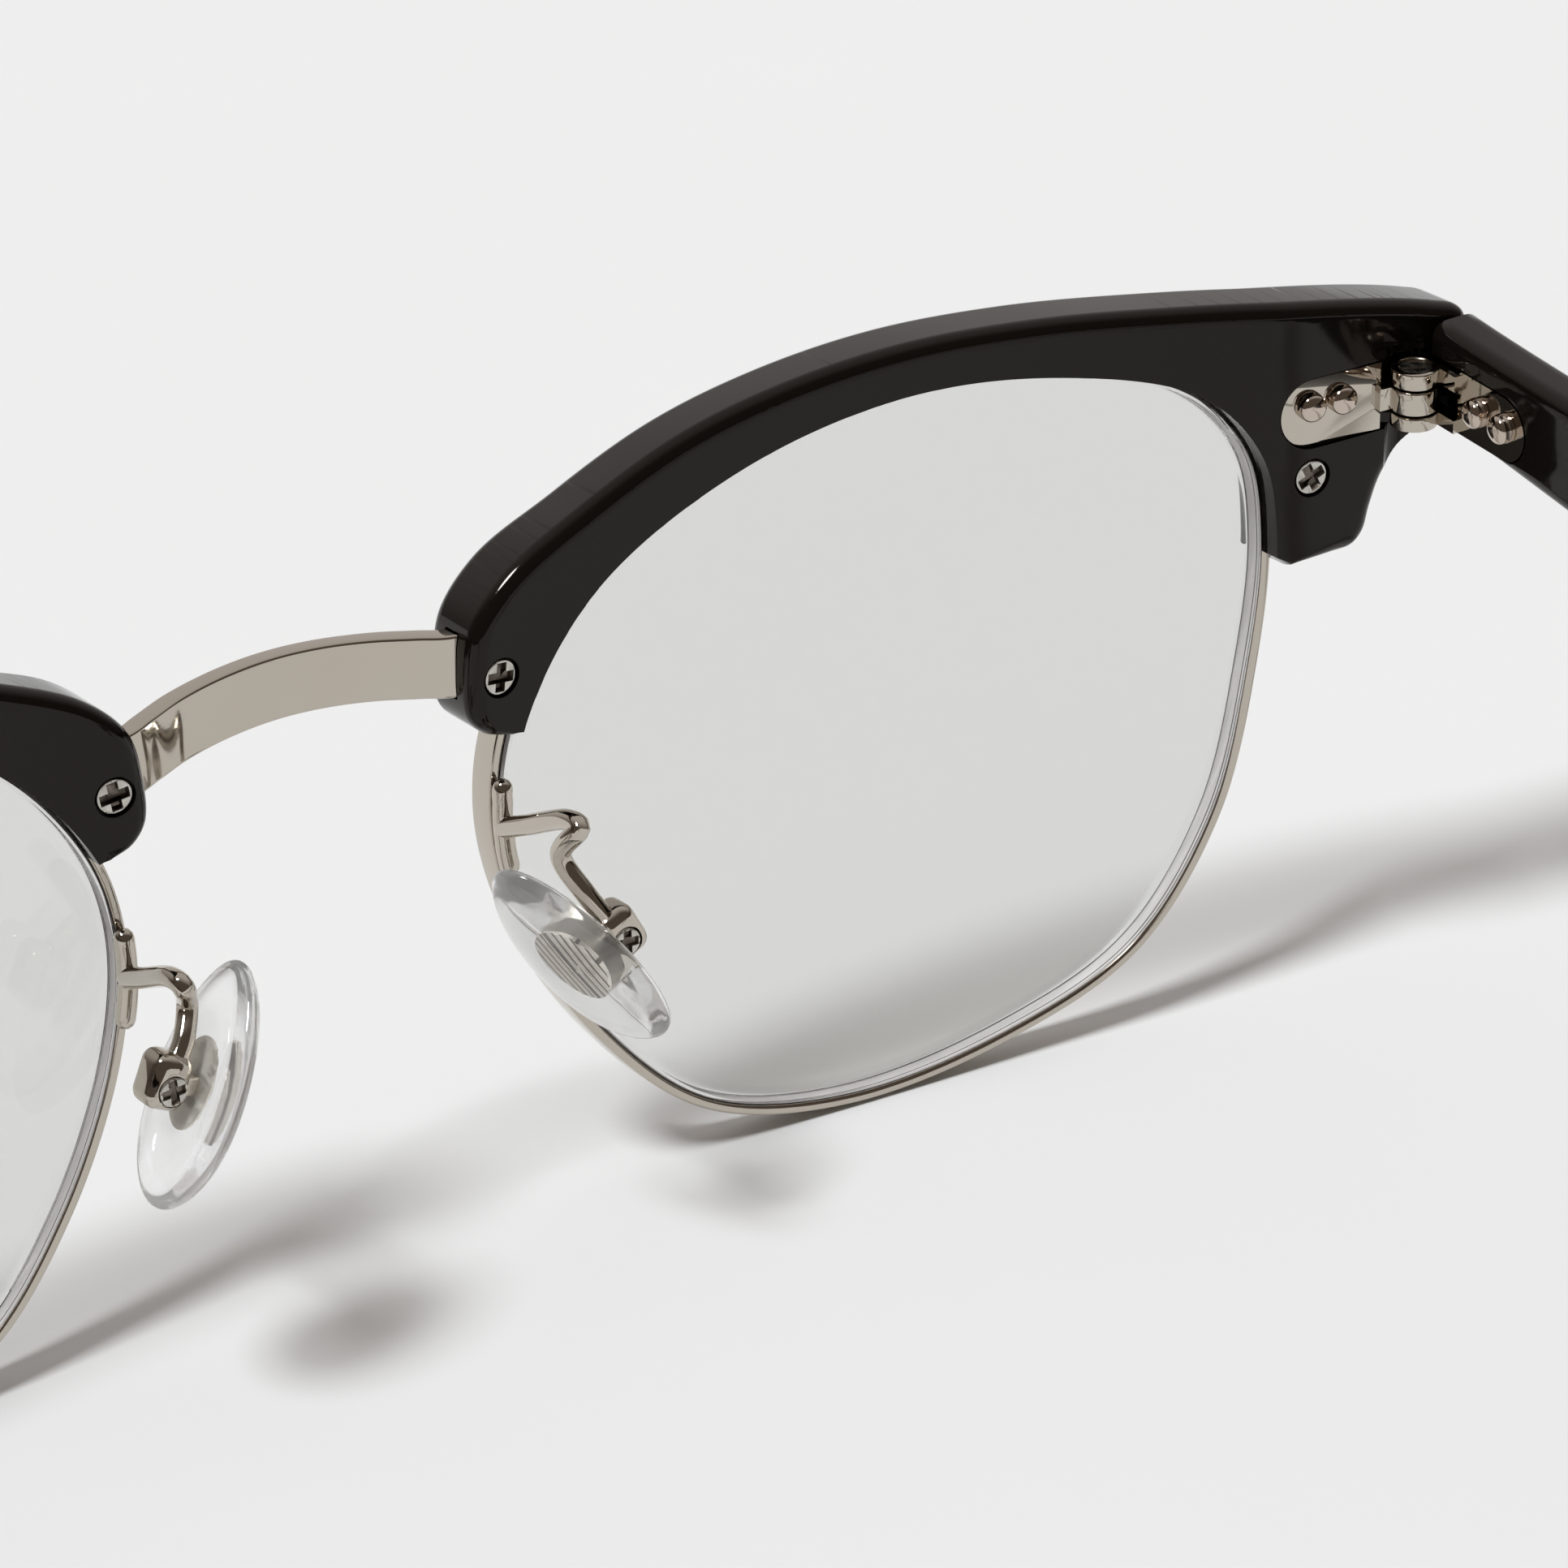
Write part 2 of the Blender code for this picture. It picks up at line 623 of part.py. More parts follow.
def shoulder(place):
    """How much lower the brow's top edge lies in front than behind, most in its nasal half."""
    if place.y >= 0.0:
        return 0.0
    rise = (place.x - SHOULDER_START) / (SHOULDER_FULL - SHOULDER_START)
    bump = max(0.0, min(1.0, rise))
    bump *= math.exp(-(max(0.0, place.x - SHOULDER_FULL) / SHOULDER_FADE) ** 2)
    edge = RIM_LINE[rim_index_near((place.x, place.z))]
    away = (edge - Vector((place.x, place.z))).length
    return SHOULDER_DROP * bump * min(1.0, away / SHOULDER_WIDTH) * place.y / BROW_FRONT


def channel_shape():
    """The space for the rim inside a brow, run on past both of its ends."""
    first = rim_index_near(BROW_TEMPORAL_END) - CHANNEL_EXTRA
    last = rim_index_near(BROW_NASAL_END) + CHANNEL_EXTRA
    inside = -4 * BROW_LIP
    outside = RIM_WALL + SEAT_GAP
    section = (
        (inside, SEAT_GAP), (outside, SEAT_GAP), (outside, -RIM_DEPTH - SEAT_GAP),
        (inside, -RIM_DEPTH - SEAT_GAP),
    )
    return loft(rim_rings(section, first, last, CHANNEL_STEP), False)


def level_to_front():
    """Front axes of a place given in level axes."""
    return Matrix.Rotation(-FRONT_LEAN, 4, "X")


def make_brow(name, parent, side, material):
    brow = finish_object(name, brow_body(), parent, side, material)
    apply_tool(brow, channel_shape(), "DIFFERENCE", side)
    for screw, lug_back in ((NASAL_SCREW, NASAL_LUG_BACK), (TEMPORAL_SCREW, TEMPORAL_LUG_BACK)):
        apply_tool(brow, lug_shape(screw, lug_back, SEAT_GAP), "DIFFERENCE", side)
        frame = sheet_frame(screw[0], screw[1])
        tip = lug_back - LUG_THICKNESS
        hole = rod(BROW_SCREW_SHANK / 2 + SCREW_GAP, tip, BROW_BACK * 2, SMALL_SIDES)
        apply_tool(brow, moved(hole, frame), "DIFFERENCE", side)
        seat = BROW_BACK - BROW_SCREW_SINK - BROW_SCREW_HEAD_DEPTH - SCREW_GAP
        sink = rod(BROW_SCREW_HEAD / 2 + SCREW_GAP, seat, BROW_BACK * 2)
        apply_tool(brow, moved(sink, frame), "DIFFERENCE", side)
    lock_room = block(LOCK_WIDTH + 2 * SEAT_GAP, LOCK_DEPTH + 2 * SEAT_GAP,
                      2 * (LOCK_HEIGHT + LOCK_SCREW_HEAD_DEPTH + SEAT_GAP) + LOCK_SLIT)
    apply_tool(brow, moved(lock_room, lock_frame()), "DIFFERENCE", side)
    apply_tool(brow, bridge_solid(SEAT_GAP), "DIFFERENCE", side)
    joint_cut(brow, side)
    return brow


def joint_cut(brow, side):
    """Square end for the temple, and the pocket and rivet holes of the front leaf."""
    x, y, z = HINGE_AXIS
    size = END_CUT
    inner_face = x + BARREL_RADIUS + HINGE_STANDOFF - JOINT_GAP
    square = block(size, size, 2 * size, (inner_face + size / 2, y + TEMPLE_FACE + size / 2, z))
    apply_tool(brow, moved(square, level_to_front()), "DIFFERENCE", side)
    hinge = level_to_front() @ Matrix.Translation(HINGE_AXIS)
    turn = hinge @ Matrix.Rotation(HINGE_TURN, 4, "Z")
    floor = front_plate_face() - HINGE_PLATE - SEAT_GAP
    pocket = plate_outline(-BARREL_RADIUS, FRONT_PLATE_FAR, FRONT_PLATE_HEIGHT, floor,
                           CLEAR_CUT, SEAT_GAP)
    apply_tool(brow, moved(pocket, turn), "DIFFERENCE", side)
    barrel_room = rod(BARREL_RADIUS + SEAT_GAP, -size, BARREL_TOP + 4 * SEAT_GAP)
    apply_tool(brow, moved(barrel_room, hinge @ upright()), "DIFFERENCE", side)
    for reach in FRONT_RIVETS:
        hole = rod(RIVET_SHANK / 2 + SCREW_GAP, floor - RIVET_SINK, 0.0, RIVET_SIDES)
        place = turn @ Matrix.Translation((-reach, 0.0, FRONT_RIVET_RISE))
        apply_tool(brow, moved(hole, place), "DIFFERENCE", side)


def plate_outline(near, far, height, y0, y1, grow=0.0):
    """Plate between two depths, square at its near end and round at its far end, along -X."""
    half = height / 2 + grow
    centre = -(far - height / 2)
    outline = [Vector((-near + grow, half)), Vector((-near + grow, -half))]
    for k in range(9):
        angle = math.radians(-90 - 180 * k / 8)
        outline.append(Vector((centre + half * math.cos(angle), half * math.sin(angle))))
    rings = [[Vector((p.x, y, p.y)) for p in outline] for y in (y0, y1)]
    return loft(rings, False)


def make_brow_screw(name, parent, side, material, screw, lug_back):
    back = BROW_BACK - BROW_SCREW_SINK
    seat = back - BROW_SCREW_HEAD_DEPTH
    tip = lug_back - LUG_THICKNESS
    profile = (
        (0.0, back), (BROW_SCREW_HEAD / 2, back), (BROW_SCREW_HEAD / 2, seat),
        (BROW_SCREW_SHANK / 2, seat), (BROW_SCREW_SHANK / 2, tip), (0.0, tip),
    )
    shape = moved(turned(profile), sheet_frame(screw[0], screw[1]))
    item = finish_object(name, shape, parent, side, material)
    frame = sheet_frame(screw[0], screw[1], back)
    cross_slot(item, frame, side, BROW_SCREW_HEAD, BROW_SCREW_HEAD_DEPTH)
    return item


def cross_slot(item, frame, side, head, head_depth):
    """Cross recess in a screw head whose outer face lies at the frame's origin."""
    length = head * CROSS_LENGTH
    width = length * CROSS_WIDTH
    depth = 2 * head_depth * CROSS_DEPTH
    for size in ((length, depth, width), (width, depth, length)):
        apply_tool(item, moved(block(*size), frame), "DIFFERENCE", side)


def bridge_line(end):
    """Centre line of the strap from one tab to the other, tabs included."""
    half = [Vector(p) * MM for p in BRIDGE_LINE]
    entry = half[-1]
    slope = (half[-1] - half[-2]).normalized()
    tab = entry + (end - entry.x) * Vector((1.0, slope.y * BRIDGE_TAB_SLOPE, 0.0))
    half.append(tab)
    mirrored = [Vector((-p.x, p.y, p.z)) for p in half[:0:-1]]
    return resample(spline(mirrored + half, False, 8), BRIDGE_STATIONS, False)


def bridge_solid(grow=0.0):
    """Flat strap along its line: upright section, square to the line seen from above."""
    line = bridge_line(BRIDGE_TAB_END + grow)
    height = BRIDGE_HEIGHT / 2 + grow
    half = BRIDGE_THICKNESS / 2 + grow
    edge = BRIDGE_EDGE_ROUND
    section = (
        (half - edge, -height), (half, edge - height), (half, height - edge),
        (half - edge, height), (edge - half, height), (-half, height - edge),
        (-half, edge - height), (edge - half, -height),
    )
    rings = []
    for i, point in enumerate(line):
        along = line[min(i + 1, len(line) - 1)] - line[max(i - 1, 0)]
        back = Vector((-along.y, along.x, 0.0)).normalized()
        rings.append([point + back * a + Vector((0.0, 0.0, b)) for a, b in section])
    return loft(rings, False)


def make_bridge(parent, material):
    bridge = finish_object("bridge", bridge_solid(), parent, 1, material)
    for side in (1, -1):
        hole = rod(BROW_SCREW_SHANK / 2 + SCREW_GAP, -CLEAR_CUT, CLEAR_CUT, SMALL_SIDES)
        apply_tool(bridge, moved(hole, sheet_frame(*NASAL_SCREW)), "DIFFERENCE", side)
    return bridge


def front_plate_face():
    return -(BARREL_RADIUS + FRONT_STANDOFF)


def temple_plate_face():
    return BARREL_RADIUS + HINGE_STANDOFF


def knuckle(z0, z1, radius=BARREL_RADIUS):
    return moved(rod(radius, z0, z1), upright())


def make_front_leaf(name, parent, side, material):
    """Plate on the brow's back with the middle knuckle, turned with the end piece."""
    face = front_plate_face()
    turn = Matrix.Rotation(HINGE_TURN, 4, "Z")
    plate = plate_outline(FRONT_PLATE_NEAR, FRONT_PLATE_FAR, FRONT_PLATE_HEIGHT,
                          face - HINGE_PLATE, face)
    leaf = finish_object(name, moved(plate, turn), parent, side, material)
    half = MIDDLE_KNUCKLE / 2 - KNUCKLE_GAP / 2
    reach = FRONT_PLATE_NEAR + ARM_TUCK
    arm = block(reach, LEAF_ARM, 2 * half - ARM_INSET,
                (-reach / 2, face + LEAF_ARM / 2 - HINGE_PLATE * ARM_BURY, 0.0))
    apply_tool(leaf, moved(arm, turn), "UNION", side)
    apply_tool(leaf, knuckle(-half, half), "UNION", side)
    bore = knuckle(2 * BARREL_BOTTOM, 2 * BARREL_TOP, HINGE_SCREW_SHANK / 2 + SCREW_GAP)
    apply_tool(leaf, bore, "DIFFERENCE", side)
    for along in FRONT_RIVETS:
        hole = rod(RIVET_SHANK / 2 + SCREW_GAP, face - 2 * HINGE_PLATE, 0.0, RIVET_SIDES)
        place = turn @ Matrix.Translation((-along, 0.0, FRONT_RIVET_RISE))
        apply_tool(leaf, moved(hole, place), "DIFFERENCE", side)
    return leaf


def temple_leaf_turn():
    """Axes of the temple leaf: its plate runs back along +Y on the temple's inner face."""
    return Matrix.Rotation(math.radians(-90), 4, "Z")


def make_temple_leaf(name, parent, side, material):
    """Plate on the temple's inner face with the two outer knuckles."""
    face = temple_plate_face()
    turn = temple_leaf_turn()
    plate = plate_outline(TEMPLE_PLATE_NEAR, TEMPLE_PLATE_FAR, TEMPLE_PLATE_HEIGHT, face,
                          face + HINGE_PLATE)
    leaf = finish_object(name, moved(plate, turn), parent, side, material)
    inner = MIDDLE_KNUCKLE / 2 + KNUCKLE_GAP / 2
    reach = TEMPLE_PLATE_NEAR + ARM_TUCK
    depth = face - LEAF_ARM / 2 + HINGE_PLATE * ARM_BURY
    for low, high in ((BARREL_BOTTOM, -inner), (inner, BARREL_TOP)):
        arm = block(reach, LEAF_ARM, high - low - ARM_INSET, (-reach / 2, depth, (low + high) / 2))
        apply_tool(leaf, moved(arm, turn), "UNION", side)
        apply_tool(leaf, knuckle(low, high), "UNION", side)
    bore = knuckle(2 * BARREL_BOTTOM, 2 * BARREL_TOP, HINGE_SCREW_SHANK / 2 + SCREW_GAP)
    apply_tool(leaf, bore, "DIFFERENCE", side)
    head = knuckle(BARREL_TOP - HINGE_SCREW_HEAD_DEPTH - SCREW_GAP, 2 * BARREL_TOP,
                   HINGE_SCREW_HEAD / 2 + SCREW_GAP)
    apply_tool(leaf, head, "DIFFERENCE", side)
    for along in TEMPLE_RIVETS:
        hole = rod(RIVET_SHANK / 2 + SCREW_GAP, 0.0, face + 2 * HINGE_PLATE, RIVET_SIDES)
        place = turn @ Matrix.Translation((-along, 0.0, TEMPLE_RIVET_RISE))
        apply_tool(leaf, moved(hole, place), "DIFFERENCE", side)
    return leaf


def make_hinge_screw(name, parent, side, material):
    top = BARREL_TOP - SCREW_GAP
    seat = BARREL_TOP - HINGE_SCREW_HEAD_DEPTH
    profile = (
        (0.0, BARREL_BOTTOM), (HINGE_SCREW_SHANK / 2, BARREL_BOTTOM), (HINGE_SCREW_SHANK / 2, seat),
        (HINGE_SCREW_HEAD / 2, seat), (HINGE_SCREW_HEAD / 2, top), (0.0, top),
    )
    shape = moved(turned(profile), upright())
    item = finish_object(name, shape, parent, side, material)
    slot = block(2 * HINGE_SCREW_HEAD, HINGE_SLOT_WIDTH, 2 * HINGE_SLOT_DEPTH, (0.0, 0.0, top))
    apply_tool(item, moved(slot, Matrix.Rotation(HINGE_SLOT_TURN, 4, "Z")), "DIFFERENCE", side)
    return item


def make_rivet(name, parent, side, material, place, facing):
    """Domed rivet through a hinge plate; facing is +1 when its head looks along +Y."""
    lift = SCREW_GAP
    radius = RIVET_HEAD / 2
    profile = [(0.0, -HINGE_PLATE - RIVET_SINK), (RIVET_SHANK / 2, -HINGE_PLATE - RIVET_SINK),
               (RIVET_SHANK / 2, lift), (radius, lift), (radius, lift + RIVET_EDGE * RIVET_DOME)]
    for k in range(1, RIVET_STEPS):
        angle = math.radians(90 * k / RIVET_STEPS)
        rise = RIVET_EDGE + (1 - RIVET_EDGE) * math.sin(angle)
        profile.append((radius * math.cos(angle), lift + rise * RIVET_DOME))
    profile.append((0.0, lift + RIVET_DOME))
    shape = turned([(r, y * facing) for r, y in profile], RIVET_SIDES)
    return finish_object(name, moved(shape, place), parent, side, material)


def temple_curve(tail_angle):
    """Centre line of a temple for a given drop of its tail, in hinge axes."""
    x = BARREL_RADIUS + HINGE_STANDOFF + TEMPLE_THICKNESS / 2
    place = Vector((x, TEMPLE_FACE + JOINT_GAP, TEMPLE_RISE))
    step = TEMPLE_LENGTH / TEMPLE_STEPS
    line = [place.copy()]
    for i in range(TEMPLE_STEPS):
        share = (i + 0.5) / TEMPLE_STEPS
        turn = (share * TEMPLE_LENGTH - TEMPLE_BEND) / EAR_BEND_LENGTH + 0.5
        turn = max(0.0, min(1.0, turn))
        angle = TEMPLE_SLOPE + (tail_angle - TEMPLE_SLOPE) * turn * turn * (3 - 2 * turn)
        inward = 3 * share ** 2 * TEMPLE_TIP_IN / TEMPLE_LENGTH
        place += Vector((-inward, math.cos(angle), -math.sin(angle))) * step
        line.append(place.copy())
    return line


def temple_line(hinge_height):
    """The temple's centre line whose tip just meets the surface that the rims stand on."""
    low, high = TEMPLE_SLOPE, math.radians(80)
    for _ in range(30):
        tail_angle = (low + high) / 2
        line = temple_curve(tail_angle)
        tip_half = temple_size(1.0)[1] / 2 * math.cos(tail_angle)
        if line[-1].z - tip_half > -hinge_height:
            low = tail_angle
        else:
            high = tail_angle
    return line


def temple_rings(line, size_of, rounding):
    """Rounded upright sections along a line; size_of gives (thickness, height) at a share."""
    rings = []
    last = len(line) - 1
    for i, point in enumerate(line):
        along = (line[min(i + 1, last)] - line[max(i - 1, 0)]).normalized()
        side_way = Vector((1.0, 0.0, 0.0))
        up = side_way.cross(along).normalized()
        if i == 0:
            up = Vector((0.0, 0.0, 1.0))
        thickness, height = size_of(i / last)
        a, b = thickness / 2, height / 2
        r = min(rounding, a * 0.95)
        corners = []
        for sx, sz, start in ((1, 1, 0), (-1, 1, 90), (-1, -1, 180), (1, -1, 270)):
            for step in range(CORNER_STEPS if r else 1):
                angle = math.radians(start + 90 * step / (CORNER_STEPS - 1))
                corners.append((sx * (a - r) + r * math.cos(angle),
                                sz * (b - r) + r * math.sin(angle)))
        rings.append([point + side_way * p + up * q for p, q in corners])
    return rings


def temple_size(share):
    """Thickness and height of a temple at a share of its length."""
    def ease(low, high, start, end):
        t = max(0.0, min(1.0, (share - start) / (end - start)))
        return low + (high - low) * t * t * (3 - 2 * t)
    thickness = ease(TEMPLE_THICKNESS, TEMPLE_TIP_THICKNESS, 0.1, 0.8)
    flared = TEMPLE_HEIGHT + TEMPLE_FLARE
    if share < TEMPLE_FLARE_AT:
        height = ease(TEMPLE_HEIGHT, flared, 0.0, TEMPLE_FLARE_AT)
    elif share < TEMPLE_MID_AT:
        height = ease(flared, TEMPLE_MID_HEIGHT, TEMPLE_FLARE_AT, TEMPLE_MID_AT)
    elif share < TEMPLE_TAIL_AT:
        height = ease(TEMPLE_MID_HEIGHT, TEMPLE_TIP_HEIGHT, TEMPLE_MID_AT, TEMPLE_TAIL_AT)
    else:
        fall = (share - TEMPLE_TAIL_AT) / (1 - TEMPLE_TAIL_AT)
        height = TEMPLE_TIP_HEIGHT * math.sqrt(1 - TEMPLE_TAIL_FALL * fall ** 2)
    return thickness, height


def make_temple(name, parent, side, material, hinge_height):
    line = resample(temple_line(hinge_height), TEMPLE_STATIONS, False)
    shape = loft(temple_rings(line, temple_size, TEMPLE_ROUND), False)
    temple = finish_object(name, shape, parent, side, material)
    face = temple_plate_face()
    floor = face + HINGE_PLATE + SEAT_GAP
    turn = temple_leaf_turn()
    pocket = plate_outline(-CLEAR_CUT, TEMPLE_PLATE_FAR, TEMPLE_PLATE_HEIGHT, 0.0, floor, SEAT_GAP)
    apply_tool(temple, moved(pocket, turn), "DIFFERENCE", side)
    for reach in TEMPLE_RIVETS:
        hole = rod(RIVET_SHANK / 2 + SCREW_GAP, 0.0, floor + RIVET_SINK, RIVET_SIDES)
        place = turn @ Matrix.Translation((-reach, 0.0, TEMPLE_RIVET_RISE))
        apply_tool(temple, moved(hole, place), "DIFFERENCE", side)
    bore = core_shape(hinge_height, SEAT_GAP, CORE_START + CORE_BORE_LEAD)
    apply_tool(temple, bore, "DIFFERENCE", side)
    return temple


def core_shape(hinge_height, grow, lead):
    """Core wire along the temple's line, or its bore; lead runs it on towards the hinge."""
    line = temple_line(hinge_height)
    share = TEMPLE_STEPS / TEMPLE_LENGTH
    kept = line[round(CORE_START * share):round(CORE_LENGTH * share)]
    kept = [p + Vector((CORE_OFFSET, 0.0, 0.0)) for p in resample(kept, CORE_STATIONS, False)]
    front = (kept[0] - kept[1]).normalized()
    kept[0] = kept[0] + front * lead
    kept[-1] = kept[-1] + (kept[-1] - kept[-2]).normalized() * grow
    size = (CORE_WIDTH + 2 * grow, CORE_HEIGHT + 2 * grow)
    return loft(temple_rings(kept, lambda share: size, 0.0), False)


def make_core(name, parent, side, material, hinge_height):
    shape = core_shape(hinge_height, 0.0, 0.0)
    return finish_object(name, shape, parent, side, material)


def pad_frame(side_name):
    """Axes of a nose pad: X out of its rear towards the rim, Y across it, Z up its length."""
    up = PAD_TOP_WAY.normalized()
    rear = -(PAD_FACING - up * PAD_FACING.dot(up)).normalized()
    rear.rotate(Matrix.Rotation(PAD_TURN[side_name], 3, up))
    across = up.cross(rear)
    frame = Matrix((rear, across, up)).transposed().to_4x4()
    frame.translation = Vector(PAD_CENTRE[side_name])
    return frame


def pad_shape():
    """Drop-shaped pad, domed towards the nose and nearly flat behind, in its own axes."""
    levels = ((PAD_REAR, 0.55), (PAD_REAR, 0.8), (PAD_REAR * 0.5, 0.96), (0.0, 1.0),
              (-PAD_DOME * 0.5, 0.9), (-PAD_DOME * 0.85, 0.66), (-PAD_DOME, 0.34))
    rings = []
    for x, share in levels:
        ring = []
        for k in range(PAD_SIDES):
            angle = math.tau * k / PAD_SIDES
            taper = 1 - PAD_TAPER * math.sin(angle)
            across = math.cos(angle) * PAD_WIDTH / 2 * share * taper
            along = math.sin(angle) * PAD_LENGTH / 2 * share
            ring.append(Vector((x, across, along)))
        rings.append(ring)
    return loft(rings, False)


def box_frame():
    """Axes at the middle of the pad screw: Y back along it, X away from the box's mouth."""
    u, y, v = PAD_SCREW
    turn = Matrix.Rotation(-PAD_BOX_TURN, 4, "Y")
    return Matrix.Translation((u, y - PAD_BOX / 2, v)) @ turn


def oval_plate(grow, side_name):
    rings = []
    for x in (-INSERT_THICKNESS / 2 - grow, INSERT_THICKNESS / 2 + grow):
        ring = []
        for k in range(INSERT_SIDES):
            angle = math.tau * k / INSERT_SIDES
            ring.append(Vector((x, (INSERT_WIDTH / 2 + grow) * math.cos(angle),
                                (INSERT_LENGTH / 2 + grow) * math.sin(angle))))
        rings.append(ring)
    return moved(loft(rings, False), pad_frame(side_name))


def shank_shape(grow, side_name):
    """Square shank from the insert's plate to past the pad screw."""
    start = Vector(PAD_CENTRE[side_name])
    end = box_frame().translation
    along = end - start
    near = INSERT_THICKNESS / 3 - grow
    far = along.length + SHANK_WIDTH / 2
    width = SHANK_WIDTH + 2 * grow
    bar = block(far - near, width, width, ((near + far) / 2, 0.0, 0.0))
    frame = along.to_track_quat("X", "Z").to_matrix().to_4x4()
    frame.translation = start
    return moved(bar, frame)


def make_pad(name, parent, side_name, side, material):
    shape = moved(pad_shape(), pad_frame(side_name))
    pad = finish_object(name, shape, parent, side, material)
    apply_tool(pad, oval_plate(SCREW_GAP, side_name), "DIFFERENCE", side)
    apply_tool(pad, shank_shape(SCREW_GAP, side_name), "DIFFERENCE", side)
    return pad


def make_insert(name, parent, side_name, side, material):
    insert = finish_object(name, oval_plate(0.0, side_name), parent, side, material)
    apply_tool(insert, shank_shape(0.0, side_name), "UNION", side)
    hole = rod(PAD_SCREW_SHANK / 2 + SCREW_GAP, -PAD_BOX, PAD_BOX, SMALL_SIDES)
    apply_tool(insert, moved(hole, box_frame()), "DIFFERENCE", side)
    return insert


def make_pad_screw(name, parent, side, material):
    half = PAD_BOX / 2
    profile = (
        (0.0, half), (PAD_SCREW_HEAD / 2, half), (PAD_SCREW_HEAD / 2, half - PAD_SCREW_HEAD_DEPTH),
        (PAD_SCREW_SHANK / 2, half - PAD_SCREW_HEAD_DEPTH), (PAD_SCREW_SHANK / 2, -half),
        (0.0, -half),
    )
    shape = moved(turned(profile, SMALL_SIDES), box_frame())
    item = finish_object(name, shape, parent, side, material)
    frame = box_frame() @ Matrix.Translation((0.0, half, 0.0))
    cross_slot(item, frame, side, PAD_SCREW_HEAD, PAD_SCREW_HEAD_DEPTH)
    return item


def rim_back(height):
    """Where a wire that runs along the rim's back has its centre, at a height on the nose side."""
    at = RIM_LINE[rim_index_near((ARM_ROOT, height))]
    return Vector((at.x, sheet_depth(at.x, height) + SEAT_GAP + ARM_WIRE / 2, height))


def arm_line(root_height):
    """Bent wire of a pad arm: back from the rim to its corner, then down into its box."""
    root = rim_back(root_height)
    corner = root + ARM_CORNER
    waist = corner + ARM_WAIST
    box_centre = Vector(PAD_SCREW) - Vector((0.0, PAD_BOX / 2, 0.0))
    box_top = box_centre + ARM_ENTRY * PAD_BOX
    reach = [root.lerp(corner, share) for share in ARM_REACH]
    sway = waist.lerp(box_top, ARM_SWAY_AT) + ARM_SWAY
    return [root, *reach, corner + ARM_KNEE, waist, sway, box_top]


def wire(points, radius, sides=8):
    """Round wire along a line of points."""
    rings = []
    across = Vector((1.0, 0.0, 0.0))
    for i, point in enumerate(points):
        along = (points[min(i + 1, len(points) - 1)] - points[max(i - 1, 0)]).normalized()
        across = (across - along * across.dot(along)).normalized()
        other = along.cross(across)
        ring = []
        for k in range(sides):
            angle = math.tau * k / sides
            ring.append(point + (across * math.cos(angle) + other * math.sin(angle)) * radius)
        rings.append(ring)
    return loft(rings, False)


def make_arm(name, parent, side, material, root_height):
    line = resample(spline(arm_line(root_height), False, 8), ARM_STATIONS, False)
    arm = finish_object(name, wire(line, ARM_WIRE / 2), parent, side, material)
    shares = [k / (ARM_BAR_POINTS - 1) - 0.5 for k in range(ARM_BAR_POINTS)]
    bar = [rim_back(root_height + ARM_BAR * share) for share in shares]
    apply_tool(arm, wire(bar, ARM_WIRE * ARM_BAR_SHARE), "UNION", side)
    box = block(PAD_BOX, PAD_BOX, PAD_BOX_HEIGHT, (PAD_BOX_SHIFT, 0.0, PAD_BOX_RISE),
                PAD_BOX_ROUND)
    apply_tool(arm, moved(box, box_frame()), "UNION", side)
    room = PAD_BOX - 2 * PAD_BOX_WALL
    inside = PAD_BOX_SHIFT + room / 2
    tall = PAD_BOX_HEIGHT - 2 * PAD_BOX_WALL
    mouth = block(2 * PAD_BOX, room, tall, (inside - PAD_BOX, 0.0, PAD_BOX_RISE))
    apply_tool(arm, moved(mouth, box_frame()), "DIFFERENCE", side)
    half = PAD_BOX / 2
    bore = rod(PAD_SCREW_SHANK / 2 + SCREW_GAP, -PAD_BOX, PAD_BOX, SMALL_SIDES)
    apply_tool(arm, moved(bore, box_frame()), "DIFFERENCE", side)
    seat = half - PAD_SCREW_HEAD_DEPTH - SCREW_GAP
    head = rod(PAD_SCREW_HEAD / 2 + SCREW_GAP, seat, PAD_BOX, SMALL_SIDES)
    apply_tool(arm, moved(head, box_frame()), "DIFFERENCE", side)
    return arm


def floor_level():
    """Height of the lowest rim edge below the front's own origin, once the front leans."""
    lowest = 0.0
    for point, normal in zip(RIM_LINE, RIM_NORMALS):
        place = point + normal * RIM_WALL
        for d in (0.0, -RIM_DEPTH):
            spot = on_sheet(place.x, place.y, d)
            level = spot.z * math.cos(FRONT_LEAN) + spot.y * math.sin(FRONT_LEAN)
            lowest = min(lowest, level)
    return lowest


def make_front(front, side_name, side, paint):
    make_brow(f"brow_{side_name}", front, side, paint["acetate"])
    make_rim(f"rim_{side_name}", front, side, paint["nickel"])
    make_lens(f"lens_{side_name}", front, side, paint["lens"])
    make_lock_screw(f"rim_lock_screw_{side_name}", front, side, paint["screw"])
    make_brow_screw(f"brow_screw_nasal_{side_name}", front, side, paint["screw"],
                    NASAL_SCREW, NASAL_LUG_BACK)
    make_brow_screw(f"brow_screw_temporal_{side_name}", front, side, paint["screw"],
                    TEMPORAL_SCREW, TEMPORAL_LUG_BACK)
    make_arm(f"pad_arm_{side_name}", front, side, paint["nickel"], ARM_ROOT_HEIGHT[side_name])
    make_pad_screw(f"pad_screw_{side_name}", front, side, paint["screw"])


